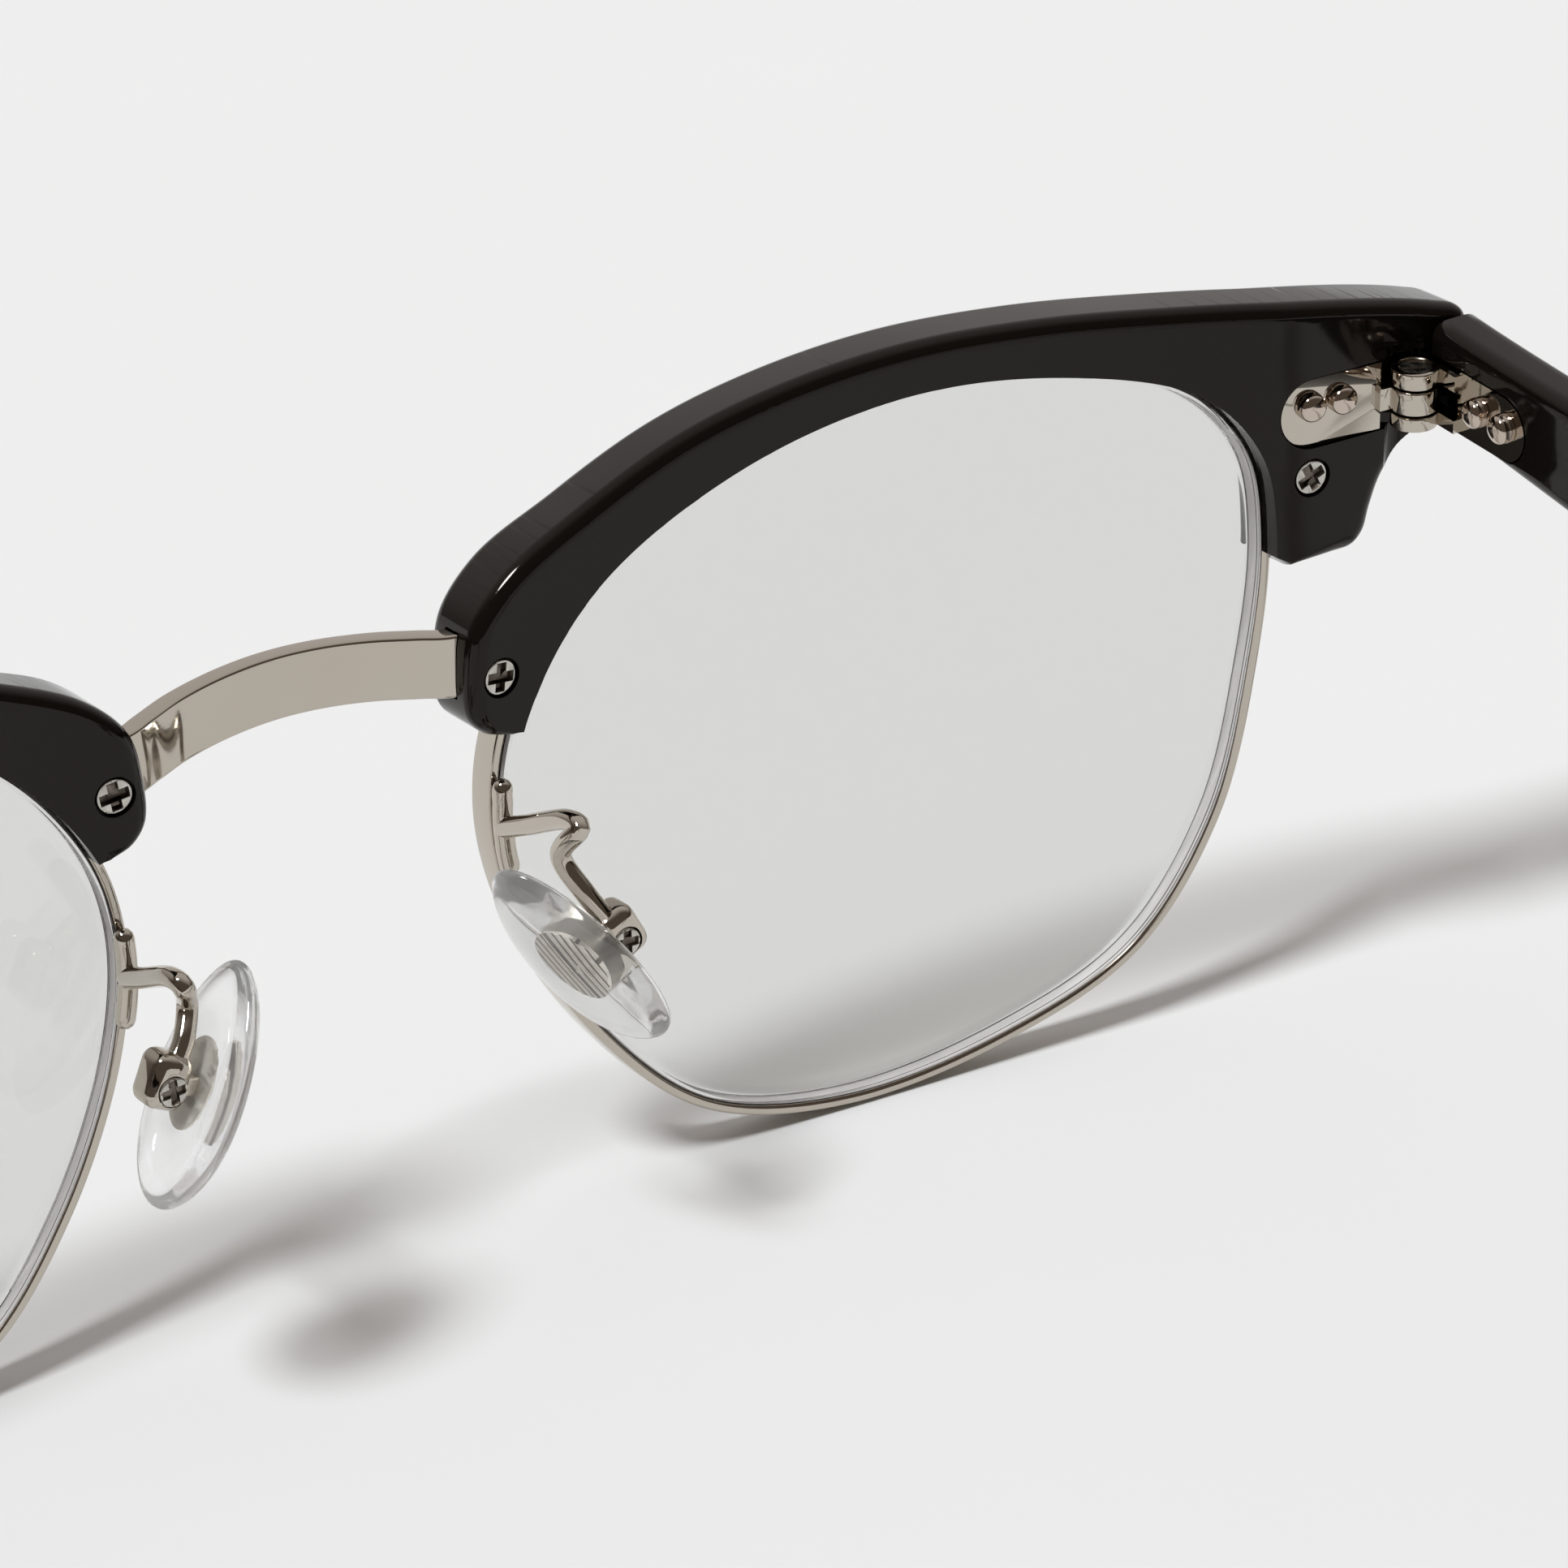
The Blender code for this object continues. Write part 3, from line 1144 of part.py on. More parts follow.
def make_pad_group(front, side_name, side, paint):
    """Pad and insert on their rocking axis, which is the pad screw."""
    u, y, v = PAD_SCREW
    pivot = make_empty(f"pad_axis_{side_name}", front, (side * u, y, v))
    make_pad(f"nose_pad_{side_name}", pivot, side_name, side, paint["pad"])
    make_insert(f"pad_insert_{side_name}", pivot, side_name, side, paint["nickel"])
    back = Matrix.Translation((-side * u, -y, -v))
    for item in pivot.children:
        item.data.transform(back)


def make_hinge(hinge, side_name, side, paint):
    make_front_leaf(f"hinge_front_leaf_{side_name}", hinge, side, paint["nickel"])
    make_hinge_screw(f"hinge_screw_{side_name}", hinge, side, paint["screw"])
    turn = Matrix.Rotation(HINGE_TURN, 4, "Z")
    for number, reach in enumerate(FRONT_RIVETS, 1):
        place = turn @ Matrix.Translation((-reach, front_plate_face(), FRONT_RIVET_RISE))
        make_rivet(f"hinge_front_rivet_{number}_{side_name}", hinge, side, paint["nickel"],
                   place, 1)


def make_temple_group(pivot, side_name, side, paint, hinge_height):
    make_temple_leaf(f"hinge_temple_leaf_{side_name}", pivot, side, paint["nickel"])
    for number, reach in enumerate(TEMPLE_RIVETS, 1):
        place = temple_leaf_turn() @ Matrix.Translation(
            (-reach, temple_plate_face(), TEMPLE_RIVET_RISE))
        make_rivet(f"hinge_temple_rivet_{number}_{side_name}", pivot, side, paint["nickel"],
                   place, -1)
    make_temple(f"temple_{side_name}", pivot, side, paint["acetate"], hinge_height)
    make_core(f"temple_core_{side_name}", pivot, side, paint["nickel"], hinge_height)


def centre_on_origin(root):
    """Slide the whole pair so that its bounding box is centred on the origin."""
    bpy.context.view_layer.update()
    reach = []
    for item in bpy.context.scene.objects:
        if item.type == "MESH" and not item.hide_render:
            reach += [(item.matrix_world @ Vector(corner)).y for corner in item.bound_box]
    root.location.y = -(min(reach) + max(reach)) / 2


def main():
    clear_scene()
    paint = {
        "acetate": make_material("black acetate", (0.012, 0.011, 0.010), 0.12),
        "nickel": make_material("nickel silver", (0.62, 0.57, 0.51), 0.18, 1.0),
        "screw": make_material("steel screw", (0.66, 0.64, 0.60), 0.25, 1.0),
        "lens": make_material("lens", (0.86, 0.87, 0.86), 0.02, 0.0, 0.35),
        "pad": make_material("clear pad", (0.90, 0.91, 0.91), 0.08, 0.0, 0.45),
    }
    root = make_empty("glasses", None, (0.0, 0.0, -floor_level()))
    front = make_empty("front", root, lean=FRONT_LEAN)
    hinge_height = HINGE_AXIS[2] - floor_level()
    make_bridge(front, paint["nickel"])
    for side_name, side in SIDES:
        make_front(front, side_name, side, paint)
        make_pad_group(front, side_name, side, paint)
        place = (side * HINGE_AXIS[0], HINGE_AXIS[1], HINGE_AXIS[2])
        hinge = make_empty(f"hinge_fixed_{side_name}", root, place)
        make_hinge(hinge, side_name, side, paint)
        pivot = make_empty(f"hinge_axis_{side_name}", root, place)
        make_temple_group(pivot, side_name, side, paint, hinge_height)
    centre_on_origin(root)


main()
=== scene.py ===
"""Half rim (browline) eyeglasses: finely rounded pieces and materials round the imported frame.

The front's pieces are drawn for the wearer's left side in the front's own leaning axes, and the
hinge and temple pieces in axes that start on the hinge pin. The other side is a mirror image.
"""
import json
import math

import bmesh
import bpy
from mathutils import Matrix, Vector


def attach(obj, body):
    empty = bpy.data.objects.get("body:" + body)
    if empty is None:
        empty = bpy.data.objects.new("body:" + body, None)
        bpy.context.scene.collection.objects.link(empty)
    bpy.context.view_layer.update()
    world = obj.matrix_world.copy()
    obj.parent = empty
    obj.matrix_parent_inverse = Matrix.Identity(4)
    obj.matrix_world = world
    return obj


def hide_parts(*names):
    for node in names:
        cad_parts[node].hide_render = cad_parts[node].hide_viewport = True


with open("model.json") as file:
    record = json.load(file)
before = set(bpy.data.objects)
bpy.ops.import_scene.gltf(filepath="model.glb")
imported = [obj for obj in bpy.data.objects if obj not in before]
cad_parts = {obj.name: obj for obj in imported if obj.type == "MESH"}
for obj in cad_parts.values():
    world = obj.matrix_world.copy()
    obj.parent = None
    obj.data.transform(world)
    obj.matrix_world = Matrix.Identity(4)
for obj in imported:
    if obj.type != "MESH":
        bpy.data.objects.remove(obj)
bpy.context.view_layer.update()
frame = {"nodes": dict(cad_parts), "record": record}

MM = 0.001
HANDS = ("left", "right")

# Front: how the lens plane leans, wraps and bows
FRONT_WRAP = math.radians(5.4)
FORM_RADIUS = 131.0 * MM
FORM_CENTRE = (37.6 * MM, -9.5 * MM)
END_START = 60.0 * MM
END_SLOPE = 0.03
END_EASE = 2.0 * MM

# Rim: the back inner edge of the eyewire, seen from the front, anticlockwise from the nose
RIM_OUTLINE = (
    (11.75, -9.0), (12.9, -15.8), (17.1, -23.8), (23.0, -29.7), (32.0, -32.1), (42.5, -31.1),
    (51.0, -27.8), (56.7, -21.0), (59.7, -12.0), (60.8, -4.5), (60.0, 1.0), (56.3, 5.5),
    (47.5, 8.6), (38.0, 9.55), (27.5, 7.7), (18.2, 3.15), (13.2, -3.2),
)
RIM_POINTS = 320
RIM_DEPTH = 2.0 * MM
RIM_WALL = 0.46 * MM
RIM_LIP = 0.12 * MM
RIM_GROOVE = 0.22 * MM
GROOVE_INSET = 0.22
RIM_EDGE_ROUND = 0.14 * MM

# Lens
LENS_GAP = 0.1 * MM
LENS_BACK = 0.3 * MM
LENS_THICKNESS = 2.1 * MM
LENS_BEVEL = 0.22 * MM
LENS_EDGE_LINES = (0.0, 0.26, 0.44, 0.8, 0.96, 1.0)
LENS_RINGS = (0.985, 0.95, 0.88, 0.78, 0.66, 0.54, 0.42, 0.3, 0.18, 0.07)

# Brow: outer outline from the nasal foot, over the top and round the end piece
BROW_OUTLINE = (
    (12.4, -3.9), (10.9, -3.4), (9.95, -2.2), (9.9, 0.4), (10.5, 3.1), (12.9, 5.6),
    (18.0, 8.1), (24.5, 10.6), (31.0, 11.9), (38.5, 12.45), (46.5, 12.05), (54.5, 11.05),
    (62.0, 9.9), (68.0, 8.6), (71.8, 7.5), (73.3, 6.9), (73.85, 6.2), (73.85, 1.1),
    (73.3, 0.5), (71.6, 0.25), (69.6, -0.7), (68.1, -2.3), (67.3, -4.0), (66.75, -5.5),
    (65.9, -6.25), (64.3, -6.35), (61.5, -6.35),
)
BROW_NASAL_END = (13.2 * MM, -3.95 * MM)
BROW_TEMPORAL_END = (60.8 * MM, -5.7 * MM)
BROW_LIP = 0.15 * MM
BROW_BACK = 1.6 * MM
BROW_FRONT = -3.4 * MM
BROW_EDGE_ROUND = 1.05 * MM
BROW_ROUND_STEPS = 8
BROW_CORNER_ROUND = 0.3
BROW_CORNER_FADE = 3.5 * MM
BROW_OUTER_POINTS = 300
BROW_INNER_POINTS = 150
BROW_SLICE = 1.25 * MM
BROW_SLICED = ((0, 9.0 * MM, 74.5 * MM), (2, -6.5 * MM, 13.0 * MM))
BROW_MERGE = 0.05 * MM
MITER_LEAST = 0.55
CHANNEL_EXTRA = 45
SHOULDER_DROP = 0.35 * MM
SHOULDER_START = 12.5 * MM
SHOULDER_FULL = 18.5 * MM
SHOULDER_FADE = 21.0 * MM
SHOULDER_WIDTH = 3.0 * MM

# Brow screws
BROW_SCREW_HEAD = 2.1 * MM
BROW_SCREW_HEAD_DEPTH = 0.5 * MM
BROW_SCREW_SHANK = 1.1 * MM
BROW_SCREW_SINK = 0.1 * MM
BROW_SCREW_TIP = -2.3 * MM
BROW_SCREW_EDGE = 0.025 * MM
BROW_SEAT_GAP = 0.13 * MM
CROSS_SPAN = 0.84
CROSS_ARM = 0.37
CROSS_FLARE = (1.08, 0.86)
CROSS_DEPTH = 0.42 * MM
CROSS_SHADE = 0.46
CROSS_TURN = {"nasal": 8.0, "temporal": -24.0}
BROW_SCREWS = {"nasal": (11.7 * MM, 0.0), "temporal": (63.1 * MM, -1.0 * MM)}

# Bridge: half of the strap's centre line as (across, depth from the front plane, up)
BRIDGE_LINE = (
    (0.0, -2.35, 1.47), (3.0, -2.2, 1.35), (6.0, -1.7, 1.05), (8.4, -0.75, 0.8), (10.0, -0.15, 0.6),
)
BRIDGE_STATIONS = 121
BRIDGE_TAB_END = 12.6 * MM
BRIDGE_TAB_SLOPE = 0.3
BRIDGE_HEIGHT = 3.65 * MM
BRIDGE_THICKNESS = 1.3 * MM
BRIDGE_EDGE_ROUND = 0.2 * MM

# Hinge, in level axes with its origin on the hinge pin at the middle knuckle
HINGE_AXIS = Vector((69.2, 7.6, 3.65)) * MM
HINGE_TURN = math.radians(5.0)
BARREL_RADIUS = 1.4 * MM
BARREL_TOP = 1.9 * MM
BARREL_BOTTOM = -1.75 * MM
MIDDLE_KNUCKLE = 1.6 * MM
KNUCKLE_GAP = 0.15 * MM
HINGE_PLATE = 0.5 * MM
FRONT_PLATE_HEIGHT = 4.2 * MM
TEMPLE_PLATE_HEIGHT = 3.9 * MM
HINGE_STANDOFF = 0.12 * MM
FRONT_STANDOFF = -0.5 * MM
FRONT_LEAF_FACE = -(BARREL_RADIUS + FRONT_STANDOFF)
TEMPLE_LEAF_FACE = BARREL_RADIUS + HINGE_STANDOFF
FRONT_LEAF_TURN = Matrix.Rotation(HINGE_TURN, 4, "Z")
TEMPLE_LEAF_TURN = Matrix.Rotation(math.radians(-90), 4, "Z")
FRONT_PLATE = (1.7 * MM, 8.3 * MM)
TEMPLE_PLATE = (2.1 * MM, 8.2 * MM)
LEAF_ARM = 0.9 * MM
LEAF_ARM_LAP = 0.4 * MM
LEAF_ARM_STEP = 0.08 * MM
HINGE_SCREW_SHANK = 1.1 * MM
HINGE_SCREW_HEAD = 2.0 * MM
HINGE_SCREW_HEAD_DEPTH = 0.5 * MM
HINGE_SCREW_SINK = 0.13 * MM
HINGE_SCREW_SLOT = (0.32 * MM, 0.44 * MM)
HINGE_SLOT_TURN = math.radians(25)
HINGE_SCREW_EDGE = 0.03 * MM
HINGE_SEAT_GAP = 0.06 * MM
RIVET_SHANK = 0.8 * MM
RIVET_SINK = 0.6 * MM
RIVET_HEAD = 1.75 * MM
RIVET_DOME = 0.95 * MM
RIVET_EDGE = 0.5
RIVET_LIFT = 0.13 * MM
FRONT_RIVETS = (4.5 * MM, 6.55 * MM)
FRONT_RIVET_RISE = 0.6 * MM
TEMPLE_RIVETS = (4.2 * MM, 6.6 * MM)
TEMPLE_RIVET_RISE = 0.25 * MM
JOINT_GAP = 0.3 * MM
END_CUT = 12.0 * MM
KNUCKLE_ROOM = 0.25 * MM
KNUCKLE_ROOM_ABOVE = 1.0 * MM

# Temple, behind the hinge pin: a straight bar, then the drop over the ear. It is drawn in a
# little past the hinge, so that the two stay clear of each other when both are folded.
TEMPLE_FACE = -0.75 * MM
TEMPLE_THICKNESS = 3.2 * MM
TEMPLE_RISE = 0.95 * MM
TEMPLE_LENGTH = 143.0 * MM
TEMPLE_BEND = 99.0 * MM
EAR_BEND_LENGTH = 30.0 * MM
TEMPLE_STEPS = 143
TEMPLE_SLOPE = math.radians(3.2)
TEMPLE_TIP_IN = 7.0 * MM
TEMPLE_TIP_THICKNESS = 2.8 * MM
TEMPLE_DRAW_IN = 0.14 * MM
TEMPLE_DRAW_RATE = 5
TEMPLE_THINNING = (0.1, 0.8)
TEMPLE_HEIGHTS = ((0.0, 5.9 * MM), (0.14, 7.0 * MM), (0.6, 5.2 * MM), (0.9, 7.4 * MM))
TEMPLE_TAIL_FALL = 0.8
TEMPLE_ROUND = 1.0 * MM
TEMPLE_TIP_SHARES = (0.0, 0.35, 0.65, 0.85, 0.95, 1.0)
TEMPLE_TIP_SHRINK = 0.28
TEMPLE_TIP_ROUND = 0.9 * MM
TEMPLE_EDGE = 0.12 * MM
TEMPLE_STATIONS = 150

# Nose pads, in front axes: (across, depth from the front plane, up)
PAD_SCREW = Vector((14.0, 9.5, -14.0)) * MM
PAD_CENTRE = {"left": Vector((12.1, 8.4, -14.5)) * MM, "right": Vector((11.75, 8.1, -14.4)) * MM}
PAD_TOP_WAY = Vector((-0.53, -0.12, 0.84))
PAD_FACING = Vector((-0.773, 0.538, -0.338))
PAD_TURN = {"left": math.radians(34.0), "right": math.radians(14.0)}
PAD_LENGTH = 13.8 * MM
PAD_WIDTH = 8.0 * MM
PAD_TAPER = 0.12
PAD_LEVELS = 26
PAD_SIDES = 64
PAD_PROFILE = (
    (0.45, 0.02), (0.45, 0.35), (0.44, 0.62), (0.38, 0.85), (0.18, 0.97), (-0.1, 1.0),
    (-0.5, 0.965), (-0.95, 0.87), (-1.3, 0.7), (-1.5, 0.48), (-1.58, 0.25), (-1.6, 0.02),
)
INSERT_LENGTH = 5.2 * MM
INSERT_WIDTH = 3.6 * MM
INSERT_THICKNESS = 0.3 * MM
INSERT_RIB = 0.42 * MM
INSERT_RIB_DEPTH = 0.1 * MM
SHANK_WIDTH = 1.0 * MM
SHANK_EDGE = 0.08 * MM
PAD_BOX = 2.4 * MM
PAD_BOX_HEIGHT = 3.1 * MM
PAD_BOX_SHIFT = 0.2 * MM
PAD_BOX_RISE = 0.35 * MM
PAD_BOX_TURN = math.radians(26.0)
PAD_BOX_WALL = 0.32 * MM
PAD_BOX_ROUND = 0.75 * MM
PAD_SCREW_HEAD = 1.7 * MM
PAD_SCREW_HEAD_DEPTH = 0.35 * MM
PAD_SCREW_SHANK = 0.6 * MM
PAD_SCREW_EDGE = 0.02 * MM
PAD_CROSS_TURN = 0.5
PAD_SEAT_GAP = 0.08 * MM

# Pad arms: where the wire leaves the rim, then the way to its corner, its waist and its box
ARM_WIRE = 1.2 * MM
ARM_ROOT = 11.9 * MM
ARM_LIFT = 0.05 * MM
ARM_ROOT_HEIGHT = {"left": -11.1 * MM, "right": -9.4 * MM}
ARM_REACH = (0.3, 0.84)
ARM_CORNER = Vector((0.6, 7.9, 3.0)) * MM
ARM_KNEE = Vector((-0.1, -0.15, -0.55)) * MM
ARM_WAIST = Vector((-0.8, -1.3, -2.3)) * MM
ARM_SWAY = Vector((-0.2, 0.1, 0.0)) * MM
ARM_SWAY_AT = 0.55
ARM_ENTRY = Vector((-0.2, 0.15, 0.4))
ARM_BAR = 4.6 * MM
ARM_BAR_SHARE = 0.48
ARM_STATIONS = 72
ARM_BAR_STATIONS = 24
ARM_EDGE = 0.04 * MM

# Fineness and small clearances
SIDES_ROUND = 40
WIRE_SIDES = 24
WIRE_CAP = (0.5, 1.0, 1.35)
ARC_STEPS = 24
DOME_STEPS = 12
SLIT = 0.1 * MM
FINE_EDGE = 0.1 * MM
CLEAR_CUT = 4.0 * MM
SCREW_GAP = 0.05 * MM
SCREW_SOFT = 0.12 * MM
UPRIGHT = Matrix.Rotation(math.radians(90), 4, "X")

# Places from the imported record
JOINTS = {joint["name"]: joint for joint in frame["record"]["behaviour"]["joints"]}
PIN = {name: Vector(JOINTS[f"{name}_temple_fold"]["pos_m"]) for name in HANDS}
HINGE = {name: Matrix.Translation(PIN[name]) for name in HANDS}
ROOT = PIN["left"] - HINGE_AXIS
PAD_AXIS = JOINTS["left_pad_rock"]["axis"]
LEAN = math.atan2(PAD_AXIS[2], PAD_AXIS[1])
FRONT = Matrix.Translation(ROOT) @ Matrix.Rotation(LEAN, 4, "X")


def metres(points):
    return [Vector(p) * MM for p in points]


def spline(points, closed, fine):
    """Centripetal Catmull-Rom curve through the points."""
    knots = [Vector(p) for p in points]
    count = len(knots)
    curve = []
    for i in range(count if closed else count - 1):
        b, c = knots[i], knots[(i + 1) % count]
        a = knots[i - 1] if closed or i > 0 else 2 * b - c
        d = knots[(i + 2) % count] if closed or i + 2 < count else 2 * c - b
        t1 = (b - a).length ** 0.5
        t2 = t1 + (c - b).length ** 0.5
        t3 = t2 + (d - c).length ** 0.5
        for step in range(fine):
            t = t1 + (t2 - t1) * step / fine
            ab = a.lerp(b, t / t1)
            bc = b.lerp(c, (t - t1) / (t2 - t1))
            cd = c.lerp(d, (t - t2) / (t3 - t2))
            abc = ab.lerp(bc, t / t2)
            bcd = bc.lerp(cd, (t - t1) / (t3 - t1))
            curve.append(abc.lerp(bcd, (t - t1) / (t2 - t1)))
    if not closed:
        curve.append(knots[-1])
    return curve


def resample(curve, count, closed=False):
    """Points at equal steps along a curve; an open one keeps both of its ends."""
    ring = curve + curve[:1] if closed else curve
    reach = [0.0]
    for a, b in zip(ring, ring[1:]):
        reach.append(reach[-1] + (b - a).length)
    steps = count if closed else count - 1
    points = []
    k = 0
    for i in range(count):
        goal = reach[-1] * i / steps
        while k < len(ring) - 2 and reach[k + 1] < goal:
            k += 1
        span = reach[k + 1] - reach[k]
        points.append(ring[k].lerp(ring[k + 1], min(1.0, (goal - reach[k]) / span)))
    return points


def path(points, count, fine, closed=False):
    """Points at equal steps along a smooth curve through the given ones."""
    return resample(spline(points, closed, fine), count, closed)


def ease(value, start, end, low=0.0, high=1.0):
    """From low to high, smoothly, as a value goes from start to end."""
    t = max(0.0, min(1.0, (value - start) / (end - start)))
    return low + (high - low) * t * t * (3 - 2 * t)


def chords(line):
    """For each point of an open line, the step from the one before to the one after."""
    last = len(line) - 1
    return [line[min(i + 1, last)] - line[max(i - 1, 0)] for i in range(last + 1)]


def outward_normals(points):
    normals = []
    for i in range(len(points)):
        along = points[(i + 1) % len(points)] - points[i - 1]
        normals.append(Vector((along.y, -along.x)).normalized())
    return normals


def sheet_depth(u, v):
    """How far the curved sheet of the lenses lies behind the front's plane."""
    inner = min(u, END_START) - FORM_CENTRE[0]
    depth = math.tan(FRONT_WRAP) * inner + inner ** 2 / (2 * FORM_RADIUS)
    depth += (v - FORM_CENTRE[1]) ** 2 / (2 * FORM_RADIUS)
    if u > END_START:
        turn = math.tan(FRONT_WRAP) + inner / FORM_RADIUS - END_SLOPE
        beyond = u - END_START
        depth += END_SLOPE * beyond + turn * END_EASE * (1 - math.exp(-beyond / END_EASE))
    return depth


def on_sheet(u, v, d):
    return Vector((u, sheet_depth(u, v) + d, v))


def axes_at(place, *ways):
    axes = Matrix(ways).transposed().to_4x4()
    axes.translation = place
    return axes


def sheet_frame(u, v, d=0.0):
    """Axes at a place on the sheet: X across, Y straight back out of it, Z up."""
    step = 0.1 * MM
    here = on_sheet(u, v, 0.0)
    across = (on_sheet(u + step, v, 0.0) - here).normalized()
    up = (on_sheet(u, v + step, 0.0) - here).normalized()
    back = up.cross(across).normalized()
    return axes_at(here + back * d, across, back, across.cross(back))


def band(shape, rows):
    """Join rows of vertices, each a closed ring, with quads."""
    for row, following in zip(rows, rows[1:]):
        for k in range(len(row)):
            n = (k + 1) % len(row)
            shape.faces.new((row[k], row[n], following[n], following[k]))


def fan(shape, place, row):
    """Close a ring of vertices with triangles round a point."""
    tip = shape.verts.new(place)
    for k in range(len(row)):
        shape.faces.new((tip, row[k], row[(k + 1) % len(row)]))


def loft(rings, closed):
    """Join rings of points with quads; an open run gets flat ends."""
    shape = bmesh.new()
    rows = [[shape.verts.new(point) for point in ring] for ring in rings]
    band(shape, rows + rows[:1] if closed else rows)
    if not closed:
        shape.faces.new(rows[0])
        shape.faces.new(reversed(rows[-1]))
    return shape


def rounded(outline, radius, steps=4):
    """A 2-D outline with its corners turned into arcs."""
    points = []
    count = len(outline)
    for i in range(count):
        a, b, c = (Vector(outline[(i + k) % count]) for k in (-1, 0, 1))
        reach = min(radius, (a - b).length * 0.45, (c - b).length * 0.45)
        start = b + (a - b).normalized() * reach
        end = b + (c - b).normalized() * reach
        for k in range(steps + 1):
            t = k / steps
            points.append(start.lerp(b, t).lerp(b.lerp(end, t), t))
    return points


def turned(profile):
    """A solid of revolution about Y from (radius, y) points whose ends lie on the axis."""
    shape = bmesh.new()
    angles = [math.tau * (k + 0.5) / SIDES_ROUND for k in range(SIDES_ROUND)]
    rows = [[shape.verts.new((radius * math.cos(angle), y, radius * math.sin(angle)))
             for angle in angles] for radius, y in profile[1:-1]]
    for (_, y), row in ((profile[0], rows[0]), (profile[-1], rows[-1])):
        fan(shape, (0.0, y, 0.0), row)
    band(shape, rows)
    return shape


def rod(radius, y0, y1):
    return turned(((0.0, y0), (radius, y0), (radius, y1), (0.0, y1)))


def block(size_x, size_y, size_z, centre=(0.0, 0.0, 0.0), rounding=0.0, segments=6):
    shape = bmesh.new()
    bmesh.ops.create_cube(shape, size=1.0)
    bmesh.ops.scale(shape, vec=(size_x, size_y, size_z), verts=shape.verts)
    bmesh.ops.translate(shape, vec=centre, verts=shape.verts)
    if rounding:
        bmesh.ops.bevel(shape, geom=shape.edges[:], offset=rounding, segments=segments,
                        profile=0.5, affect="EDGES")
    return shape


def moved(shape, matrix):
    bmesh.ops.transform(shape, matrix=matrix, verts=shape.verts)
    return shape


def upright_rod(radius, low, high):
    return moved(rod(radius, low, high), UPRIGHT)


def dress(mesh, *paints):
    """Give a mesh these materials and no others."""
    mesh.materials.clear()
    for paint in paints:
        mesh.materials.append(paint)


def in_scene(name, data):
    item = bpy.data.objects.new(name, data)
    bpy.context.scene.collection.objects.link(item)
    return item


def mirror(hand):
    """Pieces are drawn for the left; the right ones are their mirror images."""
    return Matrix.Diagonal((-1.0 if hand == "right" else 1.0, 1.0, 1.0, 1.0))


def as_object(name, shape, hand, space):
    """A bmesh drawn for the left as an object on the given side, placed in the row frame."""
    moved(shape, mirror(hand))
    bmesh.ops.transform(shape, matrix=space, verts=shape.verts)
    bmesh.ops.recalc_face_normals(shape, faces=shape.faces)
    mesh = bpy.data.meshes.new(name)
    shape.to_mesh(mesh)
    shape.free()
    return in_scene(name, mesh)


def piece(name, node, hand, shape, paint, body="front", space=FRONT, joins=(),
          cuts=(), edge=0.0, angle=35.0, edge_paint=None, flat_faces=False):
    """Build one visible piece: Boolean work, fine edge rounding, material and what it rides on.

    Its name and its node's end in the hand, if it has one. flat_faces keeps broad faces flat in
    shading beside their rounded edges.
    """
    tail = f"_{hand}" if hand else ""
    name += tail
    nodes = [node + tail]
    if body != "front":
        body = f"{hand}_{body}"
    item = as_object(name, shape, hand, space)
    paints = [paint, edge_paint] if edge_paint else [paint]
    dress(item.data, *paints)
    tools = []
    for operation, shapes in (("UNION", joins), ("DIFFERENCE", cuts)):
        for tool_shape in shapes:
            tool = as_object("tool", tool_shape, hand, space)
            boolean = item.modifiers.new("cut", "BOOLEAN")
            boolean.operation = operation
            boolean.solver = "EXACT"
            boolean.object = tool
            tools.append(tool)
    if edge:
        bevel = item.modifiers.new("edge", "BEVEL")
        bevel.width = edge
        bevel.segments = 2
        bevel.limit_method = "ANGLE"
        bevel.angle_limit = math.radians(angle)
        bevel.use_clamp_overlap = True
        bevel.material = len(paints) - 1
    graph = bpy.context.evaluated_depsgraph_get()
    mesh = bpy.data.meshes.new_from_object(item.evaluated_get(graph))
    item.modifiers.clear()
    item.data = mesh
    mesh.name = name
    for tool in tools:
        bpy.data.objects.remove(tool)
    mesh.shade_smooth()
    mesh.set_sharp_from_angle(angle=math.radians(angle))
    dress(mesh, *paints)
    if flat_faces:
        item.modifiers.new("flat faces", "WEIGHTED_NORMAL").keep_sharp = True
    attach(item, body)
    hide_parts(*nodes)
    return item


def repaint(item, hand, axes, paint, chosen):
    """Give a second material to faces whose centre and area pass a test in the given axes."""
    item.data.materials.append(paint)
    back = (FRONT @ mirror(hand) @ axes).inverted()
    for polygon in item.data.polygons:
        if chosen(back @ polygon.center, polygon.area):
            polygon.material_index = 1


RIM_LINE = path(metres(RIM_OUTLINE), RIM_POINTS, 24, True)
RIM_NORMALS = outward_normals(RIM_LINE)


def rim_index_near(place):
    goal = Vector(place)
    return min(range(len(RIM_LINE)), key=lambda i: (RIM_LINE[i] - goal).length)


def rim_rings(section, first, last):
    rings = []
    for i in range(first, last + 1):
        point = RIM_LINE[i % len(RIM_LINE)]
        normal = RIM_NORMALS[i % len(RIM_LINE)]
        ring = []
        for n, d in section:
            place = point + normal * n
            ring.append(on_sheet(place.x, place.y, d))
        rings.append(ring)
    return rings


